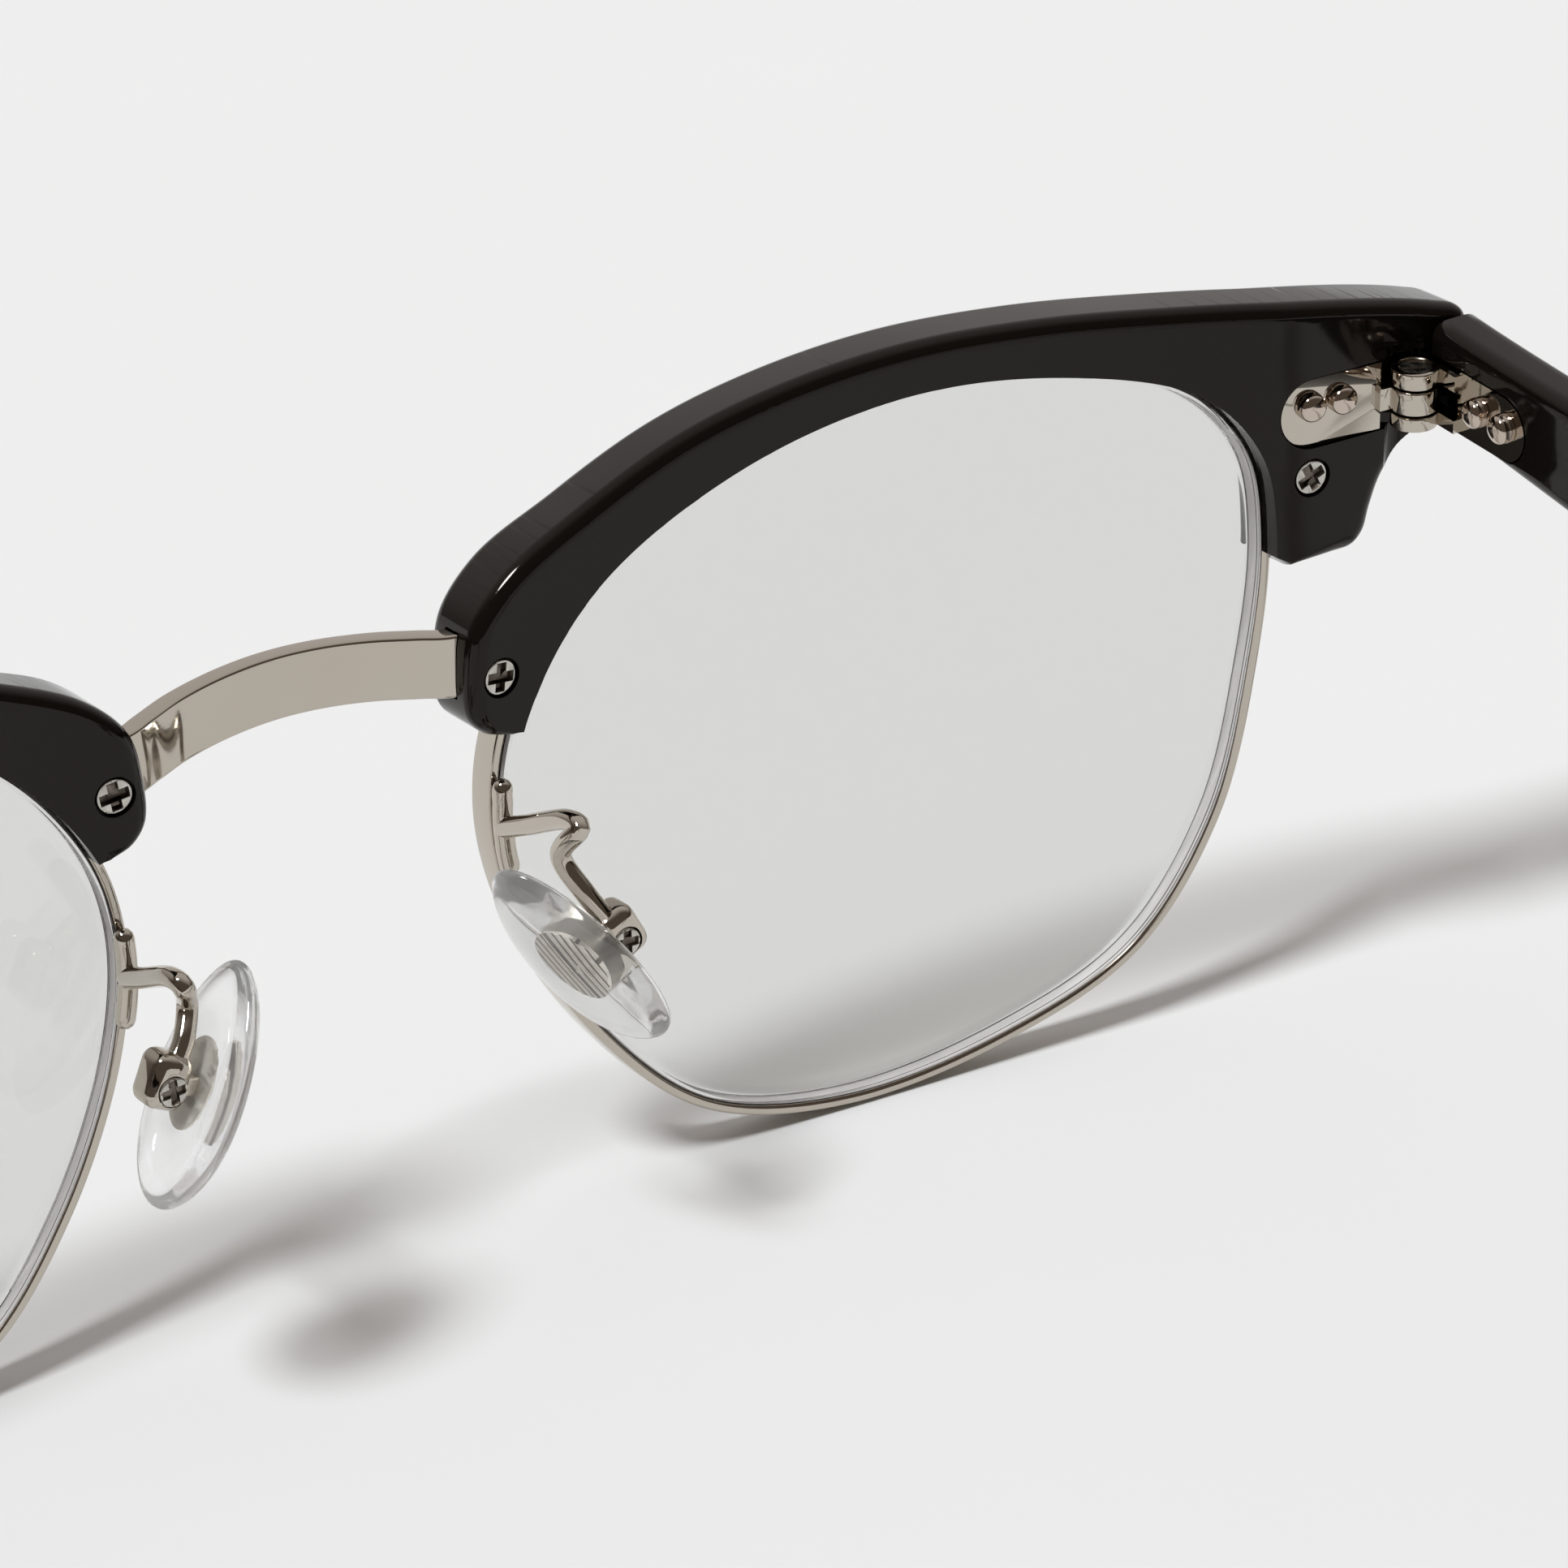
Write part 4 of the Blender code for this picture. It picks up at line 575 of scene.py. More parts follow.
def make_rim(hand, paint):
    """Eyewire: flat outside, grooved inside, its edges softly broken."""
    groove = RIM_GROOVE - RIM_LIP
    section = rounded((
        (-RIM_LIP, 0.0), (RIM_WALL, 0.0), (RIM_WALL, -RIM_DEPTH), (-RIM_LIP, -RIM_DEPTH),
        (-RIM_LIP, -RIM_DEPTH * (1 - GROOVE_INSET)), (groove, -RIM_DEPTH / 2),
        (-RIM_LIP, -RIM_DEPTH * GROOVE_INSET),
    ), RIM_EDGE_ROUND)
    rings = rim_rings(section, 0, len(RIM_LINE) - 1)
    piece("eyewire", "rim", hand, loft(rings, True), paint["nickel"])


def make_lens(hand, paint):
    """Clear curved disc whose edge has a bevel in the rim's groove and fine bands: pale ground
    ones, some of them dark painted reflection lines.
    """
    inside = -RIM_LIP - LENS_GAP
    middle = -RIM_DEPTH / 2
    front = LENS_BACK - LENS_THICKNESS

    def bands(high, low):
        return [(inside, high + (low - high) * share) for share in LENS_EDGE_LINES]

    section = [
        (inside - LENS_BEVEL, LENS_BACK),
        (inside - 0.3 * LENS_BEVEL, LENS_BACK - 0.4 * LENS_BEVEL),
        *bands(LENS_BACK - LENS_BEVEL, middle + 2 * LENS_BEVEL),
        (inside + LENS_BEVEL, middle),
        *bands(middle - 2 * LENS_BEVEL, front + LENS_BEVEL),
        (inside - 0.3 * LENS_BEVEL, front + 0.4 * LENS_BEVEL),
        (inside - LENS_BEVEL, front),
    ]
    edge = rim_rings(section, 0, len(RIM_LINE) - 1)
    centre = Vector(FORM_CENTRE)
    shape = bmesh.new()
    rows = [[shape.verts.new(ring[k]) for ring in edge] for k in range(len(section))]
    inner = {}
    for depth in (front, LENS_BACK):
        inner[depth] = []
        for share in LENS_RINGS:
            places = [centre.lerp(Vector((ring[0].x, ring[0].z)), share) for ring in edge]
            inner[depth].append([shape.verts.new(on_sheet(*place, depth)) for place in places])
    rows = inner[LENS_BACK][::-1] + rows + inner[front]
    band(shape, rows)
    fan(shape, on_sheet(*FORM_CENTRE, LENS_BACK), rows[0])
    fan(shape, on_sheet(*FORM_CENTRE, front), rows[-1])
    item = piece("plano_lens", "lens", hand, shape, paint["lens"], angle=30.0)
    item.data.materials.append(paint["lens edge"])
    item.data.materials.append(paint["lens edge line"])
    first = len(LENS_RINGS) + 1
    last = first + len(section) - 4
    lines = len(LENS_EDGE_LINES)
    # Edge strips take the pale ground edge paint; some take the dark painted reflection lines
    for polygon in item.data.polygons:
        strip = polygon.index // len(RIM_LINE)
        if first <= strip < last:
            step = (strip - first - 1) % (lines + 1)
            polygon.material_index = 2 if step % 2 == 1 and step < lines - 1 else 1


def shoulder(place):
    """How much lower the brow's top edge lies in front than behind, most in its nasal half."""
    if place.y >= 0.0:
        return 0.0
    bump = ease(place.x, SHOULDER_START, SHOULDER_FULL)
    bump *= math.exp(-(max(0.0, place.x - SHOULDER_FULL) / SHOULDER_FADE) ** 2)
    edge = RIM_LINE[rim_index_near((place.x, place.z))]
    away = (edge - Vector((place.x, place.z))).length
    return SHOULDER_DROP * bump * min(1.0, away / SHOULDER_WIDTH) * place.y / BROW_FRONT


def miters(points):
    """Outward directions of a closed 2-D outline, longer at corners so that sides move evenly."""
    ways = []
    for i, point in enumerate(points):
        before = (point - points[i - 1]).normalized()
        after = (points[(i + 1) % len(points)] - point).normalized()
        first, second = Vector((-before.y, before.x)), Vector((-after.y, after.x))
        way = (first + second).normalized()
        ways.append(way / max(MITER_LEAST, way.dot(first)))
    return ways


def brow_body():
    """Stacked outlines drawn in at the edges as quarter rounds, sliced, then bowed."""
    first = rim_index_near(BROW_TEMPORAL_END)
    last = rim_index_near(BROW_NASAL_END)
    outer = path(metres(BROW_OUTLINE), BROW_OUTER_POINTS, 24)
    inner = [RIM_LINE[i] - RIM_NORMALS[i] * BROW_LIP for i in range(first, last + 1)]
    outline = outer + resample(inner, BROW_INNER_POINTS)
    layers = []
    for step in range(BROW_ROUND_STEPS + 1):
        angle = math.radians(90 * step / BROW_ROUND_STEPS)
        inset = BROW_EDGE_ROUND * (1 - math.sin(angle))
        sink = BROW_EDGE_ROUND * (1 - math.cos(angle))
        layers += [(BROW_BACK - sink, inset, 0.0), (BROW_FRONT + sink, inset, inset)]
    last = len(outer) - 1
    full = BROW_CORNER_FADE / (outer[1] - outer[0]).length
    shares = [min(1.0, BROW_CORNER_ROUND + (1 - BROW_CORNER_ROUND) * min(k, last - k) / full)
              for k in range(len(outer))]
    ways = miters(outline)
    shape = bmesh.new()
    rows = []
    for depth, outer_inset, inner_inset in sorted(layers, reverse=True):
        row = []
        for k, (point, way) in enumerate(zip(outline, ways)):
            place = point - way * (outer_inset * shares[k] if k <= last else inner_inset)
            row.append(shape.verts.new((place.x, depth, place.y)))
        rows.append(row)
    band(shape, rows)
    shape.faces.new(rows[0])
    shape.faces.new(reversed(rows[-1]))
    for axis, place, end in BROW_SLICED:
        normal = Vector((0.0, 0.0, 0.0))
        normal[axis] = 1.0
        while place < end:
            everything = shape.verts[:] + shape.edges[:] + shape.faces[:]
            bmesh.ops.bisect_plane(shape, geom=everything, dist=1e-7, plane_no=normal,
                                   plane_co=normal * place)
            place += BROW_SLICE
    bmesh.ops.remove_doubles(shape, verts=shape.verts[:], dist=BROW_MERGE)
    for vert in shape.verts:
        vert.co.z -= shoulder(vert.co)
        vert.co = on_sheet(vert.co.x, vert.co.z, vert.co.y)
    return shape


def plate_outline(near, far, height, y0, y1, grow=0.0):
    """Plate between two depths, square at its near end and round at its far end, along -X."""
    half = height / 2 + grow
    centre = -(far - height / 2)
    outline = [Vector((-near + grow, half)), Vector((-near + grow, -half))]
    for k in range(ARC_STEPS + 1):
        angle = math.radians(-90 - 180 * k / ARC_STEPS)
        outline.append(Vector((centre + half * math.cos(angle), half * math.sin(angle))))
    return loft([[Vector((p.x, y, p.y)) for p in outline] for y in (y0, y1)], False)


def brow_cuts():
    """The rim's channel, screw seats, bridge slot, hinge pocket and square end of a brow."""
    first = rim_index_near(BROW_TEMPORAL_END) - CHANNEL_EXTRA
    last = rim_index_near(BROW_NASAL_END) + CHANNEL_EXTRA
    inside = -4 * BROW_LIP
    outside = RIM_WALL + SLIT
    section = ((inside, SLIT), (outside, SLIT), (outside, -RIM_DEPTH - SLIT),
               (inside, -RIM_DEPTH - SLIT))
    cuts = [loft(rim_rings(section, first, last), False)]
    for screw in BROW_SCREWS.values():
        seat = BROW_BACK - BROW_SCREW_SINK - BROW_SCREW_HEAD_DEPTH - SLIT
        cuts.append(moved(rod(BROW_SCREW_HEAD / 2 + BROW_SEAT_GAP, seat, BROW_BACK * 2),
                          sheet_frame(*screw)))
    cuts.append(bridge_solid(SLIT))
    level = Matrix.Rotation(-LEAN, 4, "X")
    x, y, z = HINGE_AXIS
    inner_face = x + BARREL_RADIUS + HINGE_STANDOFF - JOINT_GAP
    square = block(END_CUT, END_CUT, 2 * END_CUT,
                   (inner_face + END_CUT / 2, y + TEMPLE_FACE + END_CUT / 2, z))
    cuts.append(moved(square, level))
    hinge = level @ Matrix.Translation(HINGE_AXIS)
    floor = FRONT_LEAF_FACE - HINGE_PLATE - SLIT
    pocket = plate_outline(-BARREL_RADIUS, FRONT_PLATE[1], FRONT_PLATE_HEIGHT, floor, CLEAR_CUT,
                           SLIT)
    cuts.append(moved(pocket, hinge @ FRONT_LEAF_TURN))
    room = rod(BARREL_RADIUS + KNUCKLE_ROOM, -END_CUT, BARREL_TOP + KNUCKLE_ROOM_ABOVE)
    cuts.append(moved(room, hinge @ UPRIGHT))
    return cuts


def make_brow(hand, paint):
    piece("acetate_brow", "brow", hand, brow_body(), paint["acetate"],
          cuts=brow_cuts(), angle=30.0, flat_faces=True)


def cross_cuts(length, depth, axes):
    """Cross recess with slightly tapered walls; its mouth lies at the axes' origin, facing +Y."""
    cuts = []
    for long_way in (0, 1):
        rings = []
        for y, grow in zip((depth, -depth), CROSS_FLARE):
            a, b = length / 2 * grow, length * CROSS_ARM / 2 * grow
            if long_way:
                a, b = b, a
            rings.append([Vector((-a, y, -b)), Vector((a, y, -b)), Vector((a, y, b)),
                          Vector((-a, y, b))])
        cuts.append(moved(loft(rings, False), axes))
    return cuts


def cross_screw(name, node, hand, paint, profile, place, axes, head, depth, edge):
    """Screw with a cross recess; what lies sunk inside it gets a darker material as painted shade.
    """
    screw = piece(name, node, hand, moved(turned(profile), place), paint["screw"],
                  cuts=cross_cuts(head * CROSS_SPAN, depth, axes), edge=edge)

    def sunk(spot, _):
        inside = math.hypot(spot.x, spot.z) < head * CROSS_SHADE
        return inside and -depth * 1.2 < spot.y < -0.02 * MM
    repaint(screw, hand, axes, paint["recess"], sunk)


def screw_profile(head, head_depth, shank, back, tip):
    """Countersunk-looking cheese head with a softly broken rim, on a plain shank."""
    radius = head / 2
    soft = SCREW_SOFT
    seat = back - head_depth
    return (
        (0.0, back), (radius * 0.5, back), (radius - 1.6 * soft, back),
        (radius - 0.5 * soft, back - 0.25 * soft), (radius, back - soft), (radius, seat),
        (shank / 2, seat), (shank / 2, tip), (0.0, tip),
    )


def make_brow_screws(hand, paint):
    back = BROW_BACK - BROW_SCREW_SINK
    for kind, place in BROW_SCREWS.items():
        tip = BROW_SCREW_TIP if kind == "nasal" else BROW_SCREW_TIP / 2
        profile = screw_profile(BROW_SCREW_HEAD, BROW_SCREW_HEAD_DEPTH, BROW_SCREW_SHANK, back,
                                tip)
        turn = Matrix.Rotation(math.radians(CROSS_TURN[kind]), 4, "Y")
        cross_screw(f"cross_screw_{kind}", f"brow_screw_{kind}", hand, paint, profile,
                    sheet_frame(*place), sheet_frame(*place, back) @ turn, BROW_SCREW_HEAD,
                    CROSS_DEPTH, BROW_SCREW_EDGE)


def bridge_solid(grow=0.0):
    """Flat strap along its line: upright section, square to the line seen from above."""
    half = metres(BRIDGE_LINE)
    slope = (half[-1] - half[-2]).normalized()
    reach = BRIDGE_TAB_END + grow - half[-1].x
    half.append(half[-1] + reach * Vector((1.0, slope.y * BRIDGE_TAB_SLOPE, 0.0)))
    mirrored = [Vector((-p.x, p.y, p.z)) for p in half[:0:-1]]
    line = path(mirrored + half, BRIDGE_STATIONS, 16)
    a, b = BRIDGE_THICKNESS / 2 + grow, BRIDGE_HEIGHT / 2 + grow
    section = rounded(((a, -b), (a, b), (-a, b), (-a, -b)), BRIDGE_EDGE_ROUND)
    rings = []
    for point, along in zip(line, chords(line)):
        back = Vector((-along.y, along.x, 0.0)).normalized()
        rings.append([point + back * p.x + Vector((0.0, 0.0, p.y)) for p in section])
    return loft(rings, False)


def knuckle(z0, z1):
    """Barrel of a hinge leaf between two heights, with softly broken ends."""
    radius, soft = BARREL_RADIUS, FINE_EDGE
    profile = ((0.0, z0), (radius - soft, z0), (radius - 0.3 * soft, z0 + 0.3 * soft),
               (radius, z0 + soft), (radius, z1 - soft), (radius - 0.3 * soft, z1 - 0.3 * soft),
               (radius - soft, z1), (0.0, z1))
    return moved(turned(profile), UPRIGHT)


def make_leaf(end, hand, paint, turn, plate, height, depths, arm_depth, spans, cuts):
    """Hinge leaf: its plate, a knuckle for each span of height, and the arms between them. Its
    bevelled edges get pale nickel as a painted highlight.
    """
    reach = plate[0] + LEAF_ARM_LAP
    joins = []
    for low, high in spans:
        arm = block(reach, LEAF_ARM, high - low - LEAF_ARM_STEP,
                    (-reach / 2, arm_depth, (low + high) / 2))
        joins += [moved(arm, turn), knuckle(low, high)]
    plate = moved(plate_outline(*plate, height, *depths), turn)
    piece(f"{end}_leaf", f"hinge_{end}_leaf", hand, plate, paint["nickel"], body=end,
          space=HINGE[hand], joins=joins, cuts=cuts, edge=FINE_EDGE, edge_paint=paint["pale nickel"])


def make_hinge(hand, paint):
    """Front leaf, temple leaf, pin screw and the four domed rivets."""
    bore = (HINGE_SCREW_SHANK / 2 + SCREW_GAP, 2 * BARREL_BOTTOM, 2 * BARREL_TOP)
    face = FRONT_LEAF_FACE
    half = (MIDDLE_KNUCKLE - KNUCKLE_GAP) / 2
    make_leaf("front", hand, paint, FRONT_LEAF_TURN, FRONT_PLATE, FRONT_PLATE_HEIGHT,
              (face - HINGE_PLATE, face), face + LEAF_ARM / 2 - HINGE_PLATE * 0.6,
              ((-half, half),), [upright_rod(*bore)])
    face = TEMPLE_LEAF_FACE
    inner = (MIDDLE_KNUCKLE + KNUCKLE_GAP) / 2
    seat = BARREL_TOP - HINGE_SCREW_HEAD_DEPTH - SCREW_GAP
    sink = upright_rod(HINGE_SCREW_HEAD / 2 + HINGE_SEAT_GAP, seat, 2 * BARREL_TOP)
    make_leaf("temple", hand, paint, TEMPLE_LEAF_TURN, TEMPLE_PLATE, TEMPLE_PLATE_HEIGHT,
              (face, HINGE_PLATE + face), face - LEAF_ARM / 2 + HINGE_PLATE * 0.6,
              ((BARREL_BOTTOM, -inner), (inner, BARREL_TOP)), [upright_rod(*bore), sink])
    top = BARREL_TOP - HINGE_SCREW_SINK
    profile = screw_profile(HINGE_SCREW_HEAD, HINGE_SCREW_HEAD_DEPTH - HINGE_SCREW_SINK,
                            HINGE_SCREW_SHANK, top, BARREL_BOTTOM)
    slot = moved(block(2 * HINGE_SCREW_HEAD, *HINGE_SCREW_SLOT, (0.0, 0.0, top)),
                 Matrix.Rotation(HINGE_SLOT_TURN, 4, "Z"))
    piece("pin_screw", "hinge_screw", hand, moved(turned(profile), UPRIGHT), paint["screw"],
          space=HINGE[hand], cuts=[slot], edge=HINGE_SCREW_EDGE)
    for end, turn, places, face, rise, facing in (
            ("front", FRONT_LEAF_TURN, FRONT_RIVETS, FRONT_LEAF_FACE, FRONT_RIVET_RISE, 1),
            ("temple", TEMPLE_LEAF_TURN, TEMPLE_RIVETS, TEMPLE_LEAF_FACE, TEMPLE_RIVET_RISE, -1)):
        for number, along in enumerate(places, 1):
            place = turn @ Matrix.Translation((-along, face, rise))
            piece(f"{end}_rivet_{number}", f"hinge_{end}_rivet_{number}", hand,
                  rivet(place, facing), paint["rivet"], body=end, space=HINGE[hand])


def rivet(place, facing):
    """Upset rivet: a short cylinder whose end is a low dome; facing +1 looks along +Y."""
    radius = RIVET_HEAD / 2
    low = -HINGE_PLATE - RIVET_SINK
    wall = RIVET_LIFT + RIVET_EDGE * RIVET_DOME
    profile = [(0.0, low), (RIVET_SHANK / 2, low), (RIVET_SHANK / 2, 0.0), (radius * 0.93, 0.0),
               (radius, 0.06 * MM), (radius, wall * 0.55), (radius * 0.97, wall * 0.62),
               (radius * 0.97, wall)]
    for k in range(1, DOME_STEPS):
        angle = math.radians(90 * k / DOME_STEPS)
        rise = RIVET_EDGE + (1 - RIVET_EDGE) * math.sin(angle)
        profile.append((radius * 0.97 * math.cos(angle), RIVET_LIFT + rise * RIVET_DOME))
    profile.append((0.0, RIVET_LIFT + RIVET_DOME))
    return moved(turned([(r, y * facing) for r, y in profile]), place)


def temple_curve(tail_angle):
    """Centre line of a temple for a given drop of its tail, in hinge axes."""
    x = BARREL_RADIUS + HINGE_STANDOFF + TEMPLE_THICKNESS / 2
    place = Vector((x, TEMPLE_FACE + JOINT_GAP, TEMPLE_RISE))
    step = TEMPLE_LENGTH / TEMPLE_STEPS
    line = [place.copy()]
    for i in range(TEMPLE_STEPS):
        share = (i + 0.5) / TEMPLE_STEPS
        turn = (share * TEMPLE_LENGTH - TEMPLE_BEND) / EAR_BEND_LENGTH + 0.5
        angle = ease(turn, 0.0, 1.0, TEMPLE_SLOPE, tail_angle)
        inward = 3 * share ** 2 * TEMPLE_TIP_IN / TEMPLE_LENGTH
        place += Vector((-inward, math.cos(angle), -math.sin(angle))) * step
        line.append(place.copy())
    return line


def temple_size(share):
    """Thickness and height of a temple at a share of its length; its tail falls off rounded."""
    thickness = ease(share, *TEMPLE_THINNING, TEMPLE_THICKNESS, TEMPLE_TIP_THICKNESS)
    for (start, low), (end, high) in zip(TEMPLE_HEIGHTS, TEMPLE_HEIGHTS[1:]):
        if share < end:
            return thickness, ease(share, start, end, low, high)
    fall = (share - end) / (1 - end)
    return thickness, high * math.sqrt(1 - TEMPLE_TAIL_FALL * fall ** 2)


def temple_line(hinge_height):
    """The temple's centre line whose tip just meets the surface that the rims stand on."""
    low, high = TEMPLE_SLOPE, math.radians(80)
    for _ in range(30):
        tail_angle = (low + high) / 2
        line = temple_curve(tail_angle)
        tip_half = temple_size(1.0)[1] / 2 * math.cos(tail_angle)
        if line[-1].z - tip_half > -hinge_height:
            low = tail_angle
        else:
            high = tail_angle
    return line


def make_temple(hand, paint):
    """Bar with softly rounded edges, a rounded tip, and the hinge plate's pocket."""
    line = resample(temple_line(PIN[hand].z), TEMPLE_STATIONS)
    last = len(line) - 1
    side_way = Vector((1.0, 0.0, 0.0))
    rings = []
    for i, (point, along) in enumerate(zip(line, chords(line))):
        up = side_way.cross(along.normalized()).normalized() if i else Vector((0.0, 0.0, 1.0))
        thickness, height = temple_size(i / last)
        draw = TEMPLE_DRAW_IN * min(1.0, TEMPLE_DRAW_RATE * i / last)
        a, b = thickness / 2 - draw, height / 2
        section = rounded(((a, b), (-a, b), (-a, -b), (a, -b)), TEMPLE_ROUND, 6)
        rings.append([point + side_way * p.x + up * p.y for p in section])
    end_way = (line[-1] - line[-2]).normalized()
    centre = line[-1]
    last_ring = rings.pop()
    for share in TEMPLE_TIP_SHARES:
        shrink = 1 - TEMPLE_TIP_SHRINK * share ** 3
        back = end_way * TEMPLE_TIP_ROUND * (1 - share)
        rings.append([centre + (point - centre) * shrink - back for point in last_ring])
    floor = TEMPLE_LEAF_FACE + HINGE_PLATE + SLIT
    pocket = plate_outline(-CLEAR_CUT, TEMPLE_PLATE[1], TEMPLE_PLATE_HEIGHT, 0.0, floor, SLIT)
    piece("acetate_temple", "temple", hand, loft(rings, False), paint["acetate"],
          "temple", HINGE[hand], cuts=[moved(pocket, TEMPLE_LEAF_TURN)], edge=TEMPLE_EDGE,
          flat_faces=True)


def pad_frame(hand):
    """Axes of a nose pad: X out of its rear towards the rim, Y across it, Z up its length."""
    up = PAD_TOP_WAY.normalized()
    rear = -(PAD_FACING - up * PAD_FACING.dot(up)).normalized()
    rear.rotate(Matrix.Rotation(PAD_TURN[hand], 3, up))
    return axes_at(PAD_CENTRE[hand], rear, up.cross(rear), up)


def box_frame():
    """Axes at the middle of the pad screw: Y back along it, X away from the box's mouth."""
    turn = Matrix.Rotation(-PAD_BOX_TURN, 4, "Y")
    return Matrix.Translation(PAD_SCREW - Vector((0.0, PAD_BOX / 2, 0.0))) @ turn


def make_pad(hand, paint):
    """Clear drop-shaped pad, domed towards the nose."""
    profile = path(PAD_PROFILE, PAD_LEVELS, 8)
    rings = []
    for level in profile:
        ring = []
        for k in range(PAD_SIDES):
            angle = math.tau * k / PAD_SIDES
            taper = 1 - PAD_TAPER * math.sin(angle)
            across = math.cos(angle) * PAD_WIDTH / 2 * level.y * taper
            along = math.sin(angle) * PAD_LENGTH / 2 * level.y
            ring.append(Vector((level.x * MM, across, along)))
        rings.append(ring)
    shape = moved(loft(rings, False), pad_frame(hand))
    piece("clear_pad", "nose_pad", hand, shape, paint["pad"], "pad", angle=60.0)


def make_insert(hand, paint):
    """Ribbed oval plate inside the pad, with its square shank."""
    rings = []
    count = round(INSERT_WIDTH / INSERT_RIB)
    for k in range(4 * count + 1):
        across = INSERT_WIDTH * (k / (4 * count) - 0.5) * 0.998
        along = INSERT_LENGTH / 2 * math.sqrt(1 - (2 * across / INSERT_WIDTH) ** 2)
        dip = INSERT_RIB_DEPTH if k % 4 in (2, 3) else 0.0
        front, back = dip - INSERT_THICKNESS / 2, INSERT_THICKNESS / 2
        rings.append([Vector((front, across, -along)), Vector((front, across, along)),
                      Vector((back, across, along)), Vector((back, across, -along))])
    plate = moved(loft(rings, False), pad_frame(hand))
    along = box_frame().translation - PAD_CENTRE[hand]
    near = INSERT_THICKNESS / 3
    far = along.length + SHANK_WIDTH / 2
    bar = block(far - near, SHANK_WIDTH, SHANK_WIDTH, ((near + far) / 2, 0.0, 0.0), SHANK_EDGE, 2)
    axes = along.to_track_quat("X", "Z").to_matrix().to_4x4()
    axes.translation = PAD_CENTRE[hand]
    item = piece("ribbed_insert", "pad_insert", hand, plate, paint["pale nickel"], body="pad",
                 joins=[moved(bar, axes)], angle=20.0)

    def between_ribs(spot, area):
        return INSERT_RIB_DEPTH * 0.7 - INSERT_THICKNESS / 2 < spot.x < 0.0 and area > 1e-9
    # Faces between the ribs get the dark recess material as painted shade
    repaint(item, hand, pad_frame(hand), paint["recess"], between_ribs)


def make_pad_screw(hand, paint):
    half = PAD_BOX / 2
    profile = screw_profile(PAD_SCREW_HEAD, PAD_SCREW_HEAD_DEPTH, PAD_SCREW_SHANK, half, -half)
    axes = box_frame() @ Matrix.Translation((0.0, half, 0.0))
    cross_screw("pad_cross_screw", "pad_screw", hand, paint, profile, box_frame(),
                axes @ Matrix.Rotation(PAD_CROSS_TURN, 4, "Y"), PAD_SCREW_HEAD,
                PAD_SCREW_HEAD_DEPTH * 0.8, PAD_SCREW_EDGE)


def rim_back(height):
    """Where a wire that runs along the rim's back has its centre, at a height on the nose side."""
    at = RIM_LINE[rim_index_near((ARM_ROOT, height))]
    return Vector((at.x, sheet_depth(at.x, height) + ARM_LIFT + ARM_WIRE / 2, height))


def wire(points, radius, round_ends=False):
    """Round wire along a line of points."""
    stations = [(point, 1.0) for point in points]
    if round_ends:
        for index, following in ((0, 1), (-1, -2)):
            tip = points[index]
            way = (tip - points[following]).normalized()
            caps = [(tip + way * radius * math.sin(a), math.cos(a)) for a in WIRE_CAP]
            stations = caps[::-1] + stations if index == 0 else stations + caps
    rings = []
    across = Vector((1.0, 0.0, 0.0))
    steps = chords([point for point, _ in stations])
    for (point, share), step in zip(stations, steps):
        along = step.normalized()
        across = (across - along * across.dot(along)).normalized()
        other = along.cross(across)
        ring = []
        for k in range(WIRE_SIDES):
            angle = math.tau * k / WIRE_SIDES
            way = across * math.cos(angle) + other * math.sin(angle)
            ring.append(point + way * radius * share)
        rings.append(ring)
    return loft(rings, False)


def make_arm(hand, paint):
    """Bent wire from a foot brazed along the rim to the box that holds the pad."""
    height = ARM_ROOT_HEIGHT[hand]
    root = rim_back(height)
    corner = root + ARM_CORNER
    waist = corner + ARM_WAIST
    box_centre = PAD_SCREW - Vector((0.0, PAD_BOX / 2, 0.0))
    box_top = box_centre + ARM_ENTRY * PAD_BOX
    reach = [root.lerp(corner, share) for share in ARM_REACH]
    sway = waist.lerp(box_top, ARM_SWAY_AT) + ARM_SWAY
    points = [root, *reach, corner + ARM_KNEE, waist, sway, box_top]
    line = path(points, ARM_STATIONS, 16)
    bar = [rim_back(height + ARM_BAR * (k / 12 - 0.5)) for k in range(13)]
    foot = wire(path(bar, ARM_BAR_STATIONS, 4), ARM_WIRE * ARM_BAR_SHARE, round_ends=True)
    box = moved(block(PAD_BOX, PAD_BOX, PAD_BOX_HEIGHT, (PAD_BOX_SHIFT, 0.0, PAD_BOX_RISE),
                      PAD_BOX_ROUND), box_frame())
    room = PAD_BOX - 2 * PAD_BOX_WALL
    inside = PAD_BOX_SHIFT + room / 2
    tall = PAD_BOX_HEIGHT - 2 * PAD_BOX_WALL
    mouth = moved(block(2 * PAD_BOX, room, tall, (inside - PAD_BOX, 0.0, PAD_BOX_RISE)),
                  box_frame())
    seat = PAD_BOX / 2 - PAD_SCREW_HEAD_DEPTH - SCREW_GAP
    head = moved(rod(PAD_SCREW_HEAD / 2 + PAD_SEAT_GAP, seat, PAD_BOX), box_frame())
    piece("wire_arm", "pad_arm", hand, wire(line, ARM_WIRE / 2), paint["nickel"],
          joins=[foot, box], cuts=[mouth, head], edge=ARM_EDGE, angle=40.0)


def feed(tree, socket, value):
    """Link another node's output to a socket, or set it to a number, colour or vector."""
    if isinstance(value, bpy.types.NodeSocket):
        tree.links.new(value, socket)
    else:
        socket.default_value = (*value, 1.0) if socket.type == "RGBA" else value


def add_node(tree, kind, inputs=(), output=0, **settings):
    """Add a shader node with its settings and inputs; returns one of its outputs."""
    item = tree.nodes.new(f"ShaderNode{kind}")
    for key, value in settings.items():
        setattr(item, key, value)
    for key, value in dict(inputs).items():
        feed(tree, item.inputs[key], value)
    return item.outputs[output]


